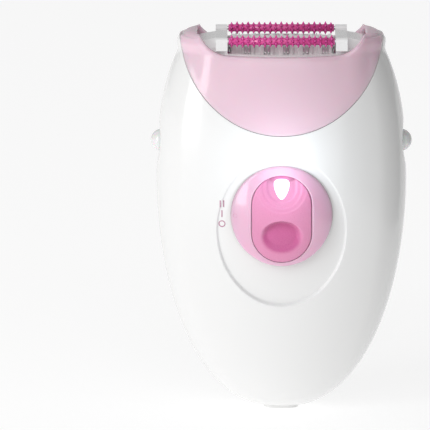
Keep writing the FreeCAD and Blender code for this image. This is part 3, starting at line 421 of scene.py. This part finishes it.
def make_piece(name, sheet, material, wall=0.0, rounding=0.0):
    """Turn a sheet drawn in millimetres into a finished piece in metres."""
    bmesh.ops.remove_doubles(sheet, verts=sheet.verts, dist=0.02)
    mesh = bpy.data.meshes.new(name)
    for vert in sheet.verts:
        vert.co *= MM
    sheet.to_mesh(mesh)
    sheet.free()
    piece = bpy.data.objects.new(name, mesh)
    bpy.context.scene.collection.objects.link(piece)
    mesh.materials.append(material)
    mesh.shade_smooth()
    if wall:
        thick = piece.modifiers.new("wall", "SOLIDIFY")
        thick.thickness = wall * MM
        thick.offset = -1.0
        thick.use_even_offset = True
        thick.use_quality_normals = True
    if rounding:
        round_edge = piece.modifiers.new("rounding", "BEVEL")
        round_edge.width = rounding * MM
        round_edge.segments = 3
        round_edge.limit_method = "ANGLE"
        round_edge.angle_limit = math.radians(50.0)
        round_edge.use_clamp_overlap = True
        even = piece.modifiers.new("even_shading", "WEIGHTED_NORMAL")
        even.keep_sharp = False
    return piece


def face_out(sheet):
    """Make every face of an open skin look away from the upright middle line."""
    bmesh.ops.recalc_face_normals(sheet, faces=sheet.faces)
    vote = 0.0
    for face in sheet.faces:
        middle = face.calc_center_median()
        vote += (middle - Vector((0, 0, middle.z))).dot(face.normal)
    if vote < 0:
        bmesh.ops.reverse_faces(sheet, faces=sheet.faces)


shell_white = moulded("shell_white", (0.90, 0.90, 0.895), 0.20, mottle=0.006, grain=6000.0,
                      bump=0.05, coat=0.35)

# recess round the switch: the front skin tipped back at the bottom, so it fades at the top
DISH_HALF_WIDTH = 18.9
DISH_HALF_HEIGHT = 22.6
DISH_HEIGHT = 55.8
DISH_TILT = math.radians(1.7)
DISH_HINGE = 80.0
DISH_EDGE = ((0.08, 0.05), (0.20, 0.20), (0.34, 0.50), (0.48, 0.80), (0.62, 0.95), (0.85, 1.0))
WINDOW_HALF = 4.3
WINDOW_LOW = 55.8
WINDOW_HIGH = 71.1


def dish_floor(x, z):
    above = z + skin_depth(x, z, -1) * math.sin(DISH_TILT)
    return -skin_depth(x, above, -1) + (DISH_HINGE - z) * math.sin(DISH_TILT)


def dish_share(co):
    return math.hypot(co.x / DISH_HALF_WIDTH, (co.z - DISH_HEIGHT) / DISH_HALF_HEIGHT)


def dish_snap(co):
    share = dish_share(co)
    x = co.x / share
    z = DISH_HEIGHT + (co.z - DISH_HEIGHT) / share
    return Vector((x, -skin_depth(x, z, -1), z))


def dish_angle(co):
    return math.atan2((co.z - DISH_HEIGHT) / DISH_HALF_HEIGHT, co.x / DISH_HALF_WIDTH)


def window_point(angle):
    """Edge of the slot for the switch's stem, in one direction from its middle."""
    middle = (WINDOW_LOW + WINDOW_HIGH) / 2
    tall = (WINDOW_HIGH - WINDOW_LOW) / 2
    c, s = math.cos(angle), math.sin(angle)
    reach = (abs(c / WINDOW_HALF) ** 6 + abs(s / tall) ** 6) ** (-1 / 6)
    return reach * c, middle + reach * s


front_sheet = half_shell(-1, 160, 170)
press_scallops(front_sheet)
open_hole(front_sheet, button_inside, button_snap)
dish_opened = open_hole(front_sheet, lambda co: co.y < -5 and dish_share(co) < 1, dish_snap)
dish_rim = loop_order(dish_opened, dish_angle)
rings = [dish_rim]
for inward, deep in DISH_EDGE:
    ring = []
    for vert in dish_rim:
        angle = dish_angle(vert.co)
        shrink = 1 - inward / DISH_HALF_WIDTH
        x = DISH_HALF_WIDTH * shrink * math.cos(angle)
        z = DISH_HEIGHT + DISH_HALF_HEIGHT * shrink * math.sin(angle)
        skin = -skin_depth(x, z, -1)
        ring.append(front_sheet.verts.new((x, skin + (dish_floor(x, z) - skin) * deep, z)))
    rings.append(ring)
FLOOR_RINGS = 18
last = rings[-1]
for k in range(1, FLOOR_RINGS + 1):
    ring = []
    for vert in last:
        x1, z1 = window_point(math.atan2(vert.co.z - DISH_HEIGHT, vert.co.x))
        x = vert.co.x + (x1 - vert.co.x) * k / FLOOR_RINGS
        z = vert.co.z + (z1 - vert.co.z) * k / FLOOR_RINGS
        ring.append(front_sheet.verts.new((x, dish_floor(x, z), z)))
    rings.append(ring)
for near, far in zip(rings, rings[1:]):
    for i in range(len(near)):
        front_sheet.faces.new((near[i - 1], near[i], far[i], far[i - 1]))
face_out(front_sheet)
front_shell = make_piece("front_shell", front_sheet, shell_white, wall=WALL, rounding=EDGE_ROUND)
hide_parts("front_housing")
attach(front_shell, "handle")

# the rear half has three deep wells for its screws
SCREW_PLACES = ((-24.0, 50.0), (24.0, 50.0), (0.0, 17.0))
SCREW_WELL = 2.7
SCREW_SEAT = 7.0
SCREW_SHANK = 1.4
WELL_LIP = 0.25

rear_sheet = half_shell(1, 120, 130)
press_scallops(rear_sheet)
open_hole(rear_sheet, button_inside, button_snap)
for cx, cz in SCREW_PLACES:
    def well_inside(co):
        return math.hypot(co.x - cx, co.z - cz) < SCREW_WELL + WELL_LIP and co.y > 2

    def well_snap(co):
        reach = math.hypot(co.x - cx, co.z - cz)
        x = cx + (co.x - cx) * (SCREW_WELL + WELL_LIP) / reach
        z = cz + (co.z - cz) * (SCREW_WELL + WELL_LIP) / reach
        return Vector((x, skin_depth(x, z, 1), z))

    rim = loop_order(open_hole(rear_sheet, well_inside, well_snap),
                     lambda co: math.atan2(co.z - cz, co.x - cx))
    rings = [rim]
    for reach, drop in ((SCREW_WELL + 0.08, 0.07), (SCREW_WELL, WELL_LIP),
                        (SCREW_WELL, None), (SCREW_SHANK, None)):
        ring = []
        for vert in rim:
            angle = math.atan2(vert.co.z - cz, vert.co.x - cx)
            y = SCREW_SEAT if drop is None else vert.co.y - drop
            x, z = cx + reach * math.cos(angle), cz + reach * math.sin(angle)
            ring.append(rear_sheet.verts.new((x, y, z)))
        rings.append(ring)
    for near, far in zip(rings, rings[1:]):
        for i in range(len(near)):
            rear_sheet.faces.new((near[i - 1], near[i], far[i], far[i - 1]))
face_out(rear_sheet)
rear_shell = make_piece("rear_shell", rear_sheet, shell_white, wall=WALL, rounding=EDGE_ROUND)
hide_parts("rear_housing")
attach(rear_shell, "handle")

# ------------------------------------------------------ switch marks
# Three small printed marks beside the switch: a ring for off and one or two strokes for the
# speeds, in dusty pink ink a few hundredths of a millimetre thick.

MARK_X = -17.2
MARK_STROKE = 0.32
MARK_TALL = 2.0
OFF_Z = 57.6
LOW_Z = 60.6
HIGH_Z = 63.6
RING_INNER = 0.72
RING_OUTER = 1.0
STROKE_APART = 0.5
ink_pink = moulded("ink_pink", (0.56, 0.26, 0.38), 0.5)


def printed(name, strips):
    """Thin ink: each strip is a run of places on the skin with a left and a right edge."""
    ink = bmesh.new()
    for strip in strips:
        rows = []
        for (xa, za), (xb, zb) in strip:
            pair = []
            for x, z in ((xa, za), (xb, zb)):
                on_dish = dish_share(Vector((x, 0, z))) < 0.97
                y = (dish_floor(x, z) if on_dish else -skin_depth(x, z, -1))
                pair.append((ink.verts.new((x, y - 0.04, z)), ink.verts.new((x, y + 0.2, z))))
            rows.append(pair)
        for (a, b), (c, d) in zip(rows, rows[1:]):
            ink.faces.new((a[0], b[0], d[0], c[0]))
            ink.faces.new((a[1], c[1], d[1], b[1]))
            ink.faces.new((a[0], c[0], c[1], a[1]))
            ink.faces.new((b[0], b[1], d[1], d[0]))
        for a, b in (rows[0], rows[-1]):
            ink.faces.new((a[0], a[1], b[1], b[0]))
    bmesh.ops.remove_doubles(ink, verts=ink.verts, dist=0.001)
    bmesh.ops.recalc_face_normals(ink, faces=ink.faces)
    piece = make_piece(name, ink, ink_pink)
    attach(piece, "handle")


def stroke(x, z):
    return [((x - MARK_STROKE / 2, z - MARK_TALL / 2 + MARK_TALL * k / 4),
             (x + MARK_STROKE / 2, z - MARK_TALL / 2 + MARK_TALL * k / 4)) for k in range(5)]


ring = []
for k in range(33):
    c, n = math.cos(2 * math.pi * k / 32), math.sin(2 * math.pi * k / 32)
    ring.append(((MARK_X + RING_INNER * c, OFF_Z + RING_INNER * n),
                 (MARK_X + RING_OUTER * c, OFF_Z + RING_OUTER * n)))
printed("mark_off", [ring])
printed("mark_low", [stroke(MARK_X, LOW_Z)])
printed("mark_high", [stroke(MARK_X - STROKE_APART, HIGH_Z), stroke(MARK_X + STROKE_APART, HIGH_Z)])

# ------------------------------------------------------ slide switch
# A translucent pink dome that slides up over the recess, with a softer pink thumb pad set in
# it, a scooped channel at the pad's top and a clear lamp window that lights the skin.

DISC_RADIUS = 14.7
DISC_HEIGHT = 60.6
DISC_APEX = 23.0
DOME = (23.1, 20.0, 30.9)
PAD_HALF = 8.6
PAD_TALL = 12.7
PAD_HEIGHT = 59.9
PAD_GAP = 0.15
TRAVEL = 5.7
RIM_ROUND = 0.7
FLAT_RADIUS = DISC_RADIUS - RIM_ROUND


def dome_y(x, z):
    inside = 1 - (x / DOME[0]) ** 2 - ((z - DISC_HEIGHT) / DOME[2]) ** 2
    return -DISC_APEX + DOME[1] - DOME[1] * math.sqrt(max(0.05, inside))


def under_y(x, z):
    """Underside of the switch: clear of the skin in every position."""
    return -max(skin_depth(x, z + TRAVEL * part, -1) for part in (0, 0.25, 0.5, 0.75, 1)) - 0.38


def pad_point(angle, grow):
    """Edge of the thumb pad's rounded slot in one direction from its middle."""
    half = PAD_HALF + grow
    straight = PAD_TALL - PAD_HALF
    c, s = math.cos(angle), math.sin(angle)
    if abs(c) > 1e-9 and abs(s) * half / abs(c) <= straight:
        return math.copysign(half, c), PAD_HEIGHT + math.copysign(half * abs(s) / abs(c), s)
    b = straight * abs(s)
    reach = b + math.sqrt(b * b - straight ** 2 + half ** 2)
    return reach * c, PAD_HEIGHT + reach * s


def lathe_rings(sheet, rings, closed=True):
    pairs = list(zip(rings, rings[1:]))
    if closed:
        pairs.append((rings[-1], rings[0]))
    for near, far in pairs:
        for i in range(len(near)):
            sheet.faces.new((near[i - 1], near[i], far[i], far[i - 1]))


disc_pink = moulded("disc_pink", (0.87, 0.50, 0.66), 0.16, mottle=0.01, grain=6000.0, bump=0.05,
                    coat=0.6, inner=0.5)
pad_pink = moulded("pad_pink", (0.78, 0.30, 0.50), 0.28, mottle=0.01, grain=6000.0, bump=0.06,
                   coat=0.2, inner=0.25)


def paint_hollow_shade(material, middle, across, tall, shade):
    """Painted shade: a darker colour laid in an oval in the height and width of a piece, where its
    hollow falls into shade.
    """
    nodes = material.node_tree.nodes
    links = material.node_tree.links
    shader = nodes["Principled BSDF"]
    place = nodes.new("ShaderNodeTexCoord")
    fit = nodes.new("ShaderNodeMapping")
    fit.inputs["Location"].default_value = (0.0, 0.0, -middle / tall)
    fit.inputs["Scale"].default_value = (1 / (across * MM), 0.0, 1 / (tall * MM))
    links.new(place.outputs["Object"], fit.inputs["Vector"])
    reach = nodes.new("ShaderNodeVectorMath")
    reach.operation = "LENGTH"
    links.new(fit.outputs["Vector"], reach.inputs[0])
    edge = nodes.new("ShaderNodeMapRange")
    edge.interpolation_type = "SMOOTHSTEP"
    edge.inputs["From Min"].default_value = 1.0
    edge.inputs["From Max"].default_value = 0.72
    links.new(reach.outputs["Value"], edge.inputs["Value"])
    plain = shader.inputs["Base Color"].links[0].from_socket
    blend = nodes.new("ShaderNodeMix")
    blend.data_type = "RGBA"
    blend.inputs["B"].default_value = (*shade, 1)
    links.new(plain, blend.inputs["A"])
    links.new(edge.outputs["Result"], blend.inputs["Factor"])
    links.new(blend.outputs["Result"], shader.inputs["Base Color"])


# painted shade: the thumb hollow's colour is darkened towards a deeper pink where the hollow falls
# into shade
paint_hollow_shade(pad_pink, 54.6, 6.4, 5.2, (0.62, 0.13, 0.33))

AROUND = 192
angles = [2 * math.pi * k / AROUND for k in range(AROUND)]
disc = bmesh.new()
disc_rings = []
for step in range(15):
    share = step / 14
    ring = []
    for a in angles:
        px, pz = pad_point(a, PAD_GAP)
        ox, oz = FLAT_RADIUS * math.cos(a), DISC_HEIGHT + FLAT_RADIUS * math.sin(a)
        x, z = px + (ox - px) * share, pz + (oz - pz) * share
        drop = 0.18 if step == 0 else 0.0
        ring.append(disc.verts.new((x, dome_y(x, z) + drop, z)))
    disc_rings.append(ring)
for k in range(1, 6):
    turn = math.pi / 2 * k / 5
    reach = FLAT_RADIUS + RIM_ROUND * math.sin(turn)
    ring = []
    for a in angles:
        x, z = reach * math.cos(a), DISC_HEIGHT + reach * math.sin(a)
        flat_x, flat_z = FLAT_RADIUS * math.cos(a), DISC_HEIGHT + FLAT_RADIUS * math.sin(a)
        flat_y = dome_y(flat_x, flat_z)
        y = flat_y + RIM_ROUND * (1 - math.cos(turn)) + (dome_y(x, z) - flat_y) * 0.7
        ring.append(disc.verts.new((x, y, z)))
    disc_rings.append(ring)
for share in (1.0, 0.5, 0.0):
    ring = []
    for a in angles:
        px, pz = pad_point(a, PAD_GAP)
        ox, oz = DISC_RADIUS * math.cos(a), DISC_HEIGHT + DISC_RADIUS * math.sin(a)
        x, z = px + (ox - px) * share, pz + (oz - pz) * share
        ring.append(disc.verts.new((x, under_y(x, z), z)))
    disc_rings.append(ring)
lathe_rings(disc, disc_rings)
bmesh.ops.recalc_face_normals(disc, faces=disc.faces)
switch_dome = make_piece("switch_dome", disc, disc_pink)
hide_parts("switch_disc")
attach(switch_dome, "slide_switch")

THUMB = (0.0, 54.6, 6.4, 5.2)
LAMP_Z = 69.0
PETALS = ((7.3, 0.16), (5.9, 0.34), (4.4, 0.52))


def ease(value):
    value = min(1.0, max(0.0, value))
    return value * value * (3 - 2 * value)


def pad_y(x, z):
    """Front of the pad: the dome, a bowl round the lamp with petal steps, and a thumb hollow."""
    y = dome_y(x, z)
    share = math.hypot((x - THUMB[0]) / THUMB[2], (z - THUMB[1]) / THUMB[3])
    top_side = min(1.0, max(0.0, 0.5 + 0.5 * (z - THUMB[1]) / THUMB[3]))
    crisp = 0.12 + 0.60 * (1 - top_side)
    y += 2.1 * ease((1 - share) / crisp) * (0.15 + 0.85 * top_side)
    out = math.sqrt(x * x + (min(0.0, z - LAMP_Z) * 1.02) ** 2)
    bowl = ease((8.6 - out) / 8.6)
    y += 1.1 * bowl
    for reach, deep in PETALS:
        y += deep * ease((reach - out) / 0.45)
    return y


pad = bmesh.new()
PAD_RINGS = 56
pad_rings = []
for step in range(PAD_RINGS):
    share = 1 - step / PAD_RINGS
    ring = []
    for a in angles:
        px, pz = pad_point(a, -0.02)
        x, z = px * share, PAD_HEIGHT + (pz - PAD_HEIGHT) * share
        drop = 0.22 if step == 0 else 0.0
        ring.append(pad.verts.new((x, pad_y(x, z) + drop, z)))
    pad_rings.append(ring)
low_ring = []
for a in angles:
    px, pz = pad_point(a, -0.02)
    low_ring.append(pad.verts.new((px, under_y(px, pz), pz)))
pad_rings.insert(0, low_ring)
lathe_rings(pad, pad_rings, closed=False)
centre = pad.verts.new((0, pad_y(0, PAD_HEIGHT), PAD_HEIGHT))
under = pad.verts.new((0, under_y(0, PAD_HEIGHT), PAD_HEIGHT))
for i in range(AROUND):
    pad.faces.new((pad_rings[-1][i - 1], pad_rings[-1][i], centre))
    pad.faces.new((low_ring[i - 1], low_ring[i], under))
bmesh.ops.recalc_face_normals(pad, faces=pad.faces)
thumb_piece = make_piece("thumb_piece", pad, pad_pink)
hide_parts("thumb_pad")
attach(thumb_piece, "slide_switch")

lamp_window = moulded("lamp_window", (0.96, 0.97, 1.0), 0.15, mottle=0.005)
window_shader = lamp_window.node_tree.nodes["Principled BSDF"]
window_shader.inputs["Emission Color"].default_value = (0.86, 0.93, 1.0, 1)
window_shader.inputs["Emission Strength"].default_value = 1.3
lens = bmesh.new()
lens_rings = []
LENS_LOW = 65.6
LENS_HIGH = 72.3
for step in range(9):
    turn = math.pi / 2 * step / 8
    ring = []
    for k in range(48):
        a = 2 * math.pi * k / 48
        tall = (LENS_HIGH - LENS_LOW) / 2
        up = math.sin(a)
        broad = 2.15 * (1.0 + 0.35 * up)
        x = broad * math.cos(a) * math.cos(turn)
        z = (LENS_LOW + LENS_HIGH) / 2 + tall * up * math.cos(turn)
        y0 = pad_y(x, z) + 0.15
        ring.append(lens.verts.new((x, y0 - 0.75 * math.sin(turn), z)))
    lens_rings.append(ring)
lathe_rings(lens, lens_rings, closed=False)
for ring in (lens_rings[0], lens_rings[-1]):
    lens.faces.new(ring)
bmesh.ops.recalc_face_normals(lens, faces=lens.faces)
lamp_lens = make_piece("lamp_lens", lens, lamp_window)
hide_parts("light_lens")
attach(lamp_lens, "slide_switch")

# the light that leaves the window and falls on the dome and the skin above it
glow = bpy.data.lights.new("lamp_glow", "POINT")
glow.energy = 0.006
glow.color = (0.80, 0.90, 1.0)
glow.shadow_soft_size = 0.003
glow_lamp = bpy.data.objects.new("lamp_glow", glow)
glow_lamp.location = (0.0, -0.0335, 0.0755)
glow_lamp.visible_camera = False
glow_lamp.visible_glossy = False
bpy.context.scene.collection.objects.link(glow_lamp)
finish(pad_pink, "switch_dot")
finish(deck_white, "switch_slider", "switch_lever")

# -------------------------------------------------- release buttons
# Milky domed buttons, one on each side, sprung out by a small coil spring on a rib of the
# rear shell.

button_milky = moulded("button_milky", (0.84, 0.84, 0.84), 0.14, mottle=0.01, coat=0.6, inner=0.4)
finish(button_milky, "left_button", "right_button")
finish(bright_steel, "left_button_spring", "right_button_spring")

# --------------------------------------------------- head: collar
# The pearly pink collar that carries the head's shape on from the handle and rises into a
# horn at each end, open above for the cap.  Moulded in a slightly translucent resin.

COLLAR_RADIUS = 29.5
SLOT_HALF = 24.3
SLOT_FLOOR = 106.2
SLOT_CORNER = 9.0
HORN_TOP = 111.9
COLLAR_WALL = 2.0
LIP_ROUND = 0.8
LIP_INNER = 0.5
HORN_REACH = 4.2
HORN_DROP = 1.5
HORN_PLATE = 2.0


def slot_edge(x):
    away = abs(x) - (SLOT_HALF - SLOT_CORNER)
    if away <= 0:
        return SLOT_FLOOR
    if away >= SLOT_CORNER:
        return HORN_TOP
    return min(HORN_TOP, SLOT_FLOOR + SLOT_CORNER - math.sqrt(SLOT_CORNER ** 2 - away ** 2))


def set_in(share, z, side, distance):
    """Skin point moved straight inward, square to the outline."""
    x, y = skin_point(share, z, side)
    ax, ay = skin_point(max(0.0, share - 0.002), z, side)
    bx, by = skin_point(min(1.0, share + 0.002), z, side)
    along = math.hypot(bx - ax, by - ay)
    nx, ny = (by - ay) / along, -(bx - ax) / along
    if nx * x + ny * y > 0:
        nx, ny = -nx, -ny
    if share in (0.0, 1.0):
        nx, ny = -math.copysign(1.0, x), 0.0
    return x + nx * distance, y + ny * distance


def corner_drop(distance, reach, drop):
    """Height lost at a distance from a rounded edge."""
    if distance >= reach:
        return 0.0
    away = 1 - distance / reach
    return drop * (1 - math.sqrt(max(0.0, 1 - away * away)))


def fold(x, z, side):
    """Soft upright crease under each horn and the ridge beside it, on the front only."""
    strong = ease((z - 92.0) / 12.0) * (1 if side < 0 else 0)
    crease = 0.34 * math.exp(-((abs(x) - 25.4) / 1.9) ** 2)
    ridge = 0.22 * math.exp(-((abs(x) - 20.6) / 2.6) ** 2)
    return strong * (crease - ridge)


def collar_column(sheet, share, side):
    """One closed upright section of the collar: out, over the lip, in and under."""
    low = meet(share, side, lambda x: parting(x, COLLAR_RADIUS), 80.0, 111.0)
    high = meet(share, side, slot_edge, low, HORN_TOP)
    x0, y0 = skin_point(share, high, side)
    horn = ease((abs(x0) - 22.5) / 3.0)
    reach = LIP_ROUND + (HORN_REACH - LIP_ROUND) * horn
    drop = LIP_ROUND + (HORN_DROP - LIP_ROUND) * horn
    points = []
    rows = 34
    for j in range(rows + 1):
        z = low + 0.3 + (high - drop - low - 0.3) * j / rows
        points.append((*set_in(share, z, side, fold(skin_point(share, z, side)[0], z, side)), z))
    x1, y1 = set_in(share, high - 0.5, side, COLLAR_WALL)
    tx, ty = math.copysign(min(abs(x1), SLOT_HALF), x1), y1
    span = math.hypot(tx - x0, ty - y0)
    for k in range(1, 20):
        gone = k / 20
        away = span * gone * gone * (1.6 - 0.6 * gone)
        x, y = x0 + (tx - x0) * away / span, y0 + (ty - y0) * away / span
        z = (min(slot_edge(x), high) - corner_drop(away, reach, drop)
             - corner_drop(span - away, LIP_INNER, LIP_INNER))
        points.append((x, y, z))
    foot = min(slot_edge(tx), high) - LIP_INNER
    points.append((tx, ty, foot))
    under = foot - HORN_PLATE + LIP_INNER
    points.append((tx, ty, under))
    points.append((*set_in(share, under, side, COLLAR_WALL), under))
    for j in range(1, 9):
        z = under + (low + 0.3 - under) * j / 8
        points.append((*set_in(share, z, side, COLLAR_WALL), z))
    points.append((*set_in(share, low, side, COLLAR_WALL - 0.3), low))
    points.append((*set_in(share, low, side, 0.3), low))
    points.append((*set_in(share, low, side, 0.09), low + 0.09))
    return [sheet.verts.new(p) for p in points]


collar_pink = moulded("collar_pink", (0.88, 0.63, 0.73), 0.24, mottle=0.012, grain=6000.0,
                      bump=0.05, coat=0.45, inner=0.45)
collar = bmesh.new()
ROUND_COLUMNS = 280
columns = [collar_column(collar, i / ROUND_COLUMNS, -1) for i in range(ROUND_COLUMNS)]
columns += [collar_column(collar, 1 - i / ROUND_COLUMNS, 1) for i in range(ROUND_COLUMNS)]
for left, right in zip(columns, columns[1:] + columns[:1]):
    for j in range(len(left)):
        collar.faces.new((left[j - 1], right[j - 1], right[j], left[j]))
bmesh.ops.remove_doubles(collar, verts=collar.verts, dist=0.004)
bmesh.ops.dissolve_degenerate(collar, edges=collar.edges, dist=0.002)
bmesh.ops.recalc_face_normals(collar, faces=collar.faces)
head_shell = make_piece("head_shell", collar, collar_pink)
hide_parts("head_collar")
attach(head_shell, "epilation_head")

# ------------------------------------------- head: chassis and gears
# The satin white chassis with the drum's bearing plates, brass bushes, acetal closing cams
# and gears, steel shafts and the grey gear cover.

gear_cream = moulded("gear_cream", (0.80, 0.77, 0.68), 0.35, mottle=0.03, bump=0.03)
cover_grey = moulded("cover_grey", (0.42, 0.43, 0.45), 0.4, mottle=0.04, bump=0.04)
finish(deck_white, "head_chassis")
finish(bush_brass, "drum_bushes")
finish(gear_cream, "closing_cams", "crown_wheel", "lay_gear", "transfer_gear", "drum_gear")
finish(cover_grey, "gear_cover")
finish(bright_steel, "transfer_pin", "lay_shaft", "drum_axle", "front_roller_pin",
       "rear_roller_pin")

# -------------------------------------------------- head: tweezer drum
# A white core with raised discs, fixed steel blades beside them and four push bars that
# carry the moving blades.

blade_steel = turned_metal("blade_steel", (0.86, 0.87, 0.88), 0.36, (1, 0.2, 0.2), 900.0)
drum_white = moulded("drum_white", (0.94, 0.94, 0.94), 0.30, bump=0.03, coat=0.2)
DRUM_HEIGHT = 102.2
DRUM_HALF = 14.9
DRUM_CORE = 7.5
DISC_PITCH = 2.8
DISC_HALF = 0.65
DISC_REACH = 8.0
drum = bmesh.new()
profile = [(-DRUM_HALF, 1.5), (-DRUM_HALF, DRUM_CORE - 0.3), (-DRUM_HALF + 0.3, DRUM_CORE)]
for k in range(11):
    middle = (k - 5) * DISC_PITCH
    left, right = middle - DISC_HALF, middle + DISC_HALF
    profile += [(left, DRUM_CORE), (left, DISC_REACH - 0.4), (left + 0.12, DISC_REACH - 0.12),
                (left + 0.4, DISC_REACH), (right - 0.4, DISC_REACH),
                (right - 0.12, DISC_REACH - 0.12), (right, DISC_REACH - 0.4), (right, DRUM_CORE)]
profile += [(DRUM_HALF - 0.3, DRUM_CORE), (DRUM_HALF, DRUM_CORE - 0.3), (DRUM_HALF, 1.5)]
drum_rings = []
for k in range(96):
    turn = 2 * math.pi * k / 96
    scoop = 1 - 0.16 * max(0.0, math.cos(4 * turn)) ** 3
    ring = []
    for x, reach in profile:
        out = reach if reach <= DRUM_CORE else DRUM_CORE + (reach * scoop - DRUM_CORE)
        ring.append(drum.verts.new((x, out * math.cos(turn), DRUM_HEIGHT + out * math.sin(turn))))
    drum_rings.append(ring)
for near, far in zip(drum_rings, drum_rings[1:] + drum_rings[:1]):
    for i in range(len(near)):
        drum.faces.new((near[i - 1], near[i], far[i], far[i - 1]))
bmesh.ops.remove_doubles(drum, verts=drum.verts, dist=0.002)
bmesh.ops.recalc_face_normals(drum, faces=drum.faces)
drum_body = make_piece("drum_body", drum, drum_white)
drum_body.data.set_sharp_from_angle(angle=math.radians(35))
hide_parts("drum_core")
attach(drum_body, "tweezer_drum")
finish(blade_steel, "fixed_tweezers", "clamp_bar_1", "clamp_bar_2", "clamp_bar_3", "clamp_bar_4")

# ------------------------------------------------- cap and rollers
# The white clip-on cap, and two magenta massage rollers covered in small pointed studs that
# turn on steel pins between its posts.

cap_white = moulded("cap_white", (0.97, 0.97, 0.97), 0.28, bump=0.02, coat=0.25)
finish(cap_white, "cap_frame")
stud_magenta = moulded("stud_magenta", (0.98, 0.11, 0.43), 0.22, mottle=0.05, coat=0.5, inner=0.4)

studs = bpy.data.node_groups.new("stud_roller", "GeometryNodeTree")
face = studs.interface
face.new_socket("Geometry", in_out="INPUT", socket_type="NodeSocketGeometry")
face.new_socket("Geometry", in_out="OUTPUT", socket_type="NodeSocketGeometry")
for label, kind, value in (("Rows", "NodeSocketInt", 19), ("Studs per row", "NodeSocketInt", 6),
                           ("Row pitch", "NodeSocketFloat", 1.6 * MM),
                           ("Core radius", "NodeSocketFloat", 1.08 * MM),
                           ("Stud height", "NodeSocketFloat", 0.86 * MM),
                           ("Stud base", "NodeSocketFloat", 0.50 * MM),
                           ("Length", "NodeSocketFloat", 30.6 * MM),
                           ("Start angle", "NodeSocketFloat", 0.0),
                           ("Centre", "NodeSocketVector", (0, 0, 0)),
                           ("Finish", "NodeSocketMaterial", None)):
    socket = face.new_socket(label, in_out="INPUT", socket_type=kind)
    if value is not None:
        socket.default_value = value
tree = studs.nodes
wire = studs.links
given = tree.new("NodeGroupInput")
result = tree.new("NodeGroupOutput")


def calc(operation, first, second=None):
    node = tree.new("ShaderNodeMath")
    node.operation = operation
    for socket, value in zip(node.inputs, (first, second)):
        if value is None:
            continue
        if isinstance(value, (int, float)):
            socket.default_value = value
        else:
            wire.new(value, socket)
    return node.outputs[0]


total = calc("MULTIPLY", given.outputs["Rows"], given.outputs["Studs per row"])
points = tree.new("GeometryNodePoints")
wire.new(total, points.inputs["Count"])
index = tree.new("GeometryNodeInputIndex").outputs[0]
row = calc("FLOOR", calc("DIVIDE", calc("ADD", index, 0.5), given.outputs["Studs per row"]))
seat = calc("SUBTRACT", index, calc("MULTIPLY", row, given.outputs["Studs per row"]))
stagger = calc("MULTIPLY", calc("MODULO", row, 2.0), 0.5)
part = calc("DIVIDE", calc("ADD", seat, stagger), given.outputs["Studs per row"])
angle = calc("ADD", calc("MULTIPLY", part, 2 * math.pi), given.outputs["Start angle"])
middle_row = calc("MULTIPLY", calc("SUBTRACT", given.outputs["Rows"], 1.0), 0.5)
along = calc("MULTIPLY", calc("SUBTRACT", row, middle_row), given.outputs["Row pitch"])
cosine = calc("COSINE", angle)
sine = calc("SINE", angle)
radius = calc("SUBTRACT", given.outputs["Core radius"], 0.05 * MM)
where = tree.new("ShaderNodeCombineXYZ")
wire.new(along, where.inputs["X"])
wire.new(calc("MULTIPLY", cosine, radius), where.inputs["Y"])
wire.new(calc("MULTIPLY", sine, radius), where.inputs["Z"])
wire.new(where.outputs[0], points.inputs["Position"])
outward = tree.new("ShaderNodeCombineXYZ")
wire.new(cosine, outward.inputs["Y"])
wire.new(sine, outward.inputs["Z"])
align = tree.new("FunctionNodeAlignEulerToVector")
align.axis = "Z"
wire.new(outward.outputs[0], align.inputs["Vector"])
stud = tree.new("GeometryNodeMeshCone")
stud.inputs["Vertices"].default_value = 10
stud.inputs["Radius Top"].default_value = 0.07 * MM
wire.new(given.outputs["Stud base"], stud.inputs["Radius Bottom"])
wire.new(given.outputs["Stud height"], stud.inputs["Depth"])
plant = tree.new("GeometryNodeInstanceOnPoints")
wire.new(points.outputs[0], plant.inputs["Points"])
wire.new(stud.outputs["Mesh"], plant.inputs["Instance"])
wire.new(align.outputs[0], plant.inputs["Rotation"])
core = tree.new("GeometryNodeMeshCylinder")
core.inputs["Vertices"].default_value = 40
wire.new(given.outputs["Core radius"], core.inputs["Radius"])
wire.new(given.outputs["Length"], core.inputs["Depth"])
laid = tree.new("GeometryNodeTransform")
laid.inputs["Rotation"].default_value = (0, math.pi / 2, 0)
wire.new(core.outputs["Mesh"], laid.inputs["Geometry"])
both = tree.new("GeometryNodeJoinGeometry")
wire.new(plant.outputs[0], both.inputs[0])
wire.new(laid.outputs[0], both.inputs[0])
real = tree.new("GeometryNodeRealizeInstances")
wire.new(both.outputs[0], real.inputs[0])
smooth = tree.new("GeometryNodeSetShadeSmooth")
wire.new(real.outputs[0], smooth.inputs["Geometry"])
shift = tree.new("GeometryNodeTransform")
wire.new(smooth.outputs[0], shift.inputs["Geometry"])
wire.new(given.outputs["Centre"], shift.inputs["Translation"])
dress = tree.new("GeometryNodeSetMaterial")
wire.new(shift.outputs[0], dress.inputs["Geometry"])
wire.new(given.outputs["Finish"], dress.inputs["Material"])
wire.new(dress.outputs[0], result.inputs[0])


def grown(name, group, values):
    """Run a node tree on an empty piece and keep the plain mesh it makes."""
    seed = bpy.data.objects.new(name + "_seed", bpy.data.meshes.new(name + "_seed"))
    bpy.context.scene.collection.objects.link(seed)
    tool = seed.modifiers.new("tree", "NODES")
    tool.node_group = group
    for item in group.interface.items_tree:
        if item.item_type == "SOCKET" and item.in_out == "INPUT" and item.name in values:
            tool[item.identifier] = values[item.name]
    held = seed.evaluated_get(bpy.context.evaluated_depsgraph_get())
    mesh = bpy.data.meshes.new_from_object(held)
    bpy.data.objects.remove(seed)
    piece = bpy.data.objects.new(name, mesh)
    bpy.context.scene.collection.objects.link(piece)
    return piece


for side, y, z, start in (("front", -9.2, 109.8, 0.3), ("rear", 9.2, 110.2, 0.9)):
    roller = grown(side + "_studs", studs, {"Centre": (0.0, y * MM, z * MM),
                                            "Finish": stud_magenta, "Start angle": start})
    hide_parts(side + "_roller")
    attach(roller, side + "_massage_roller")
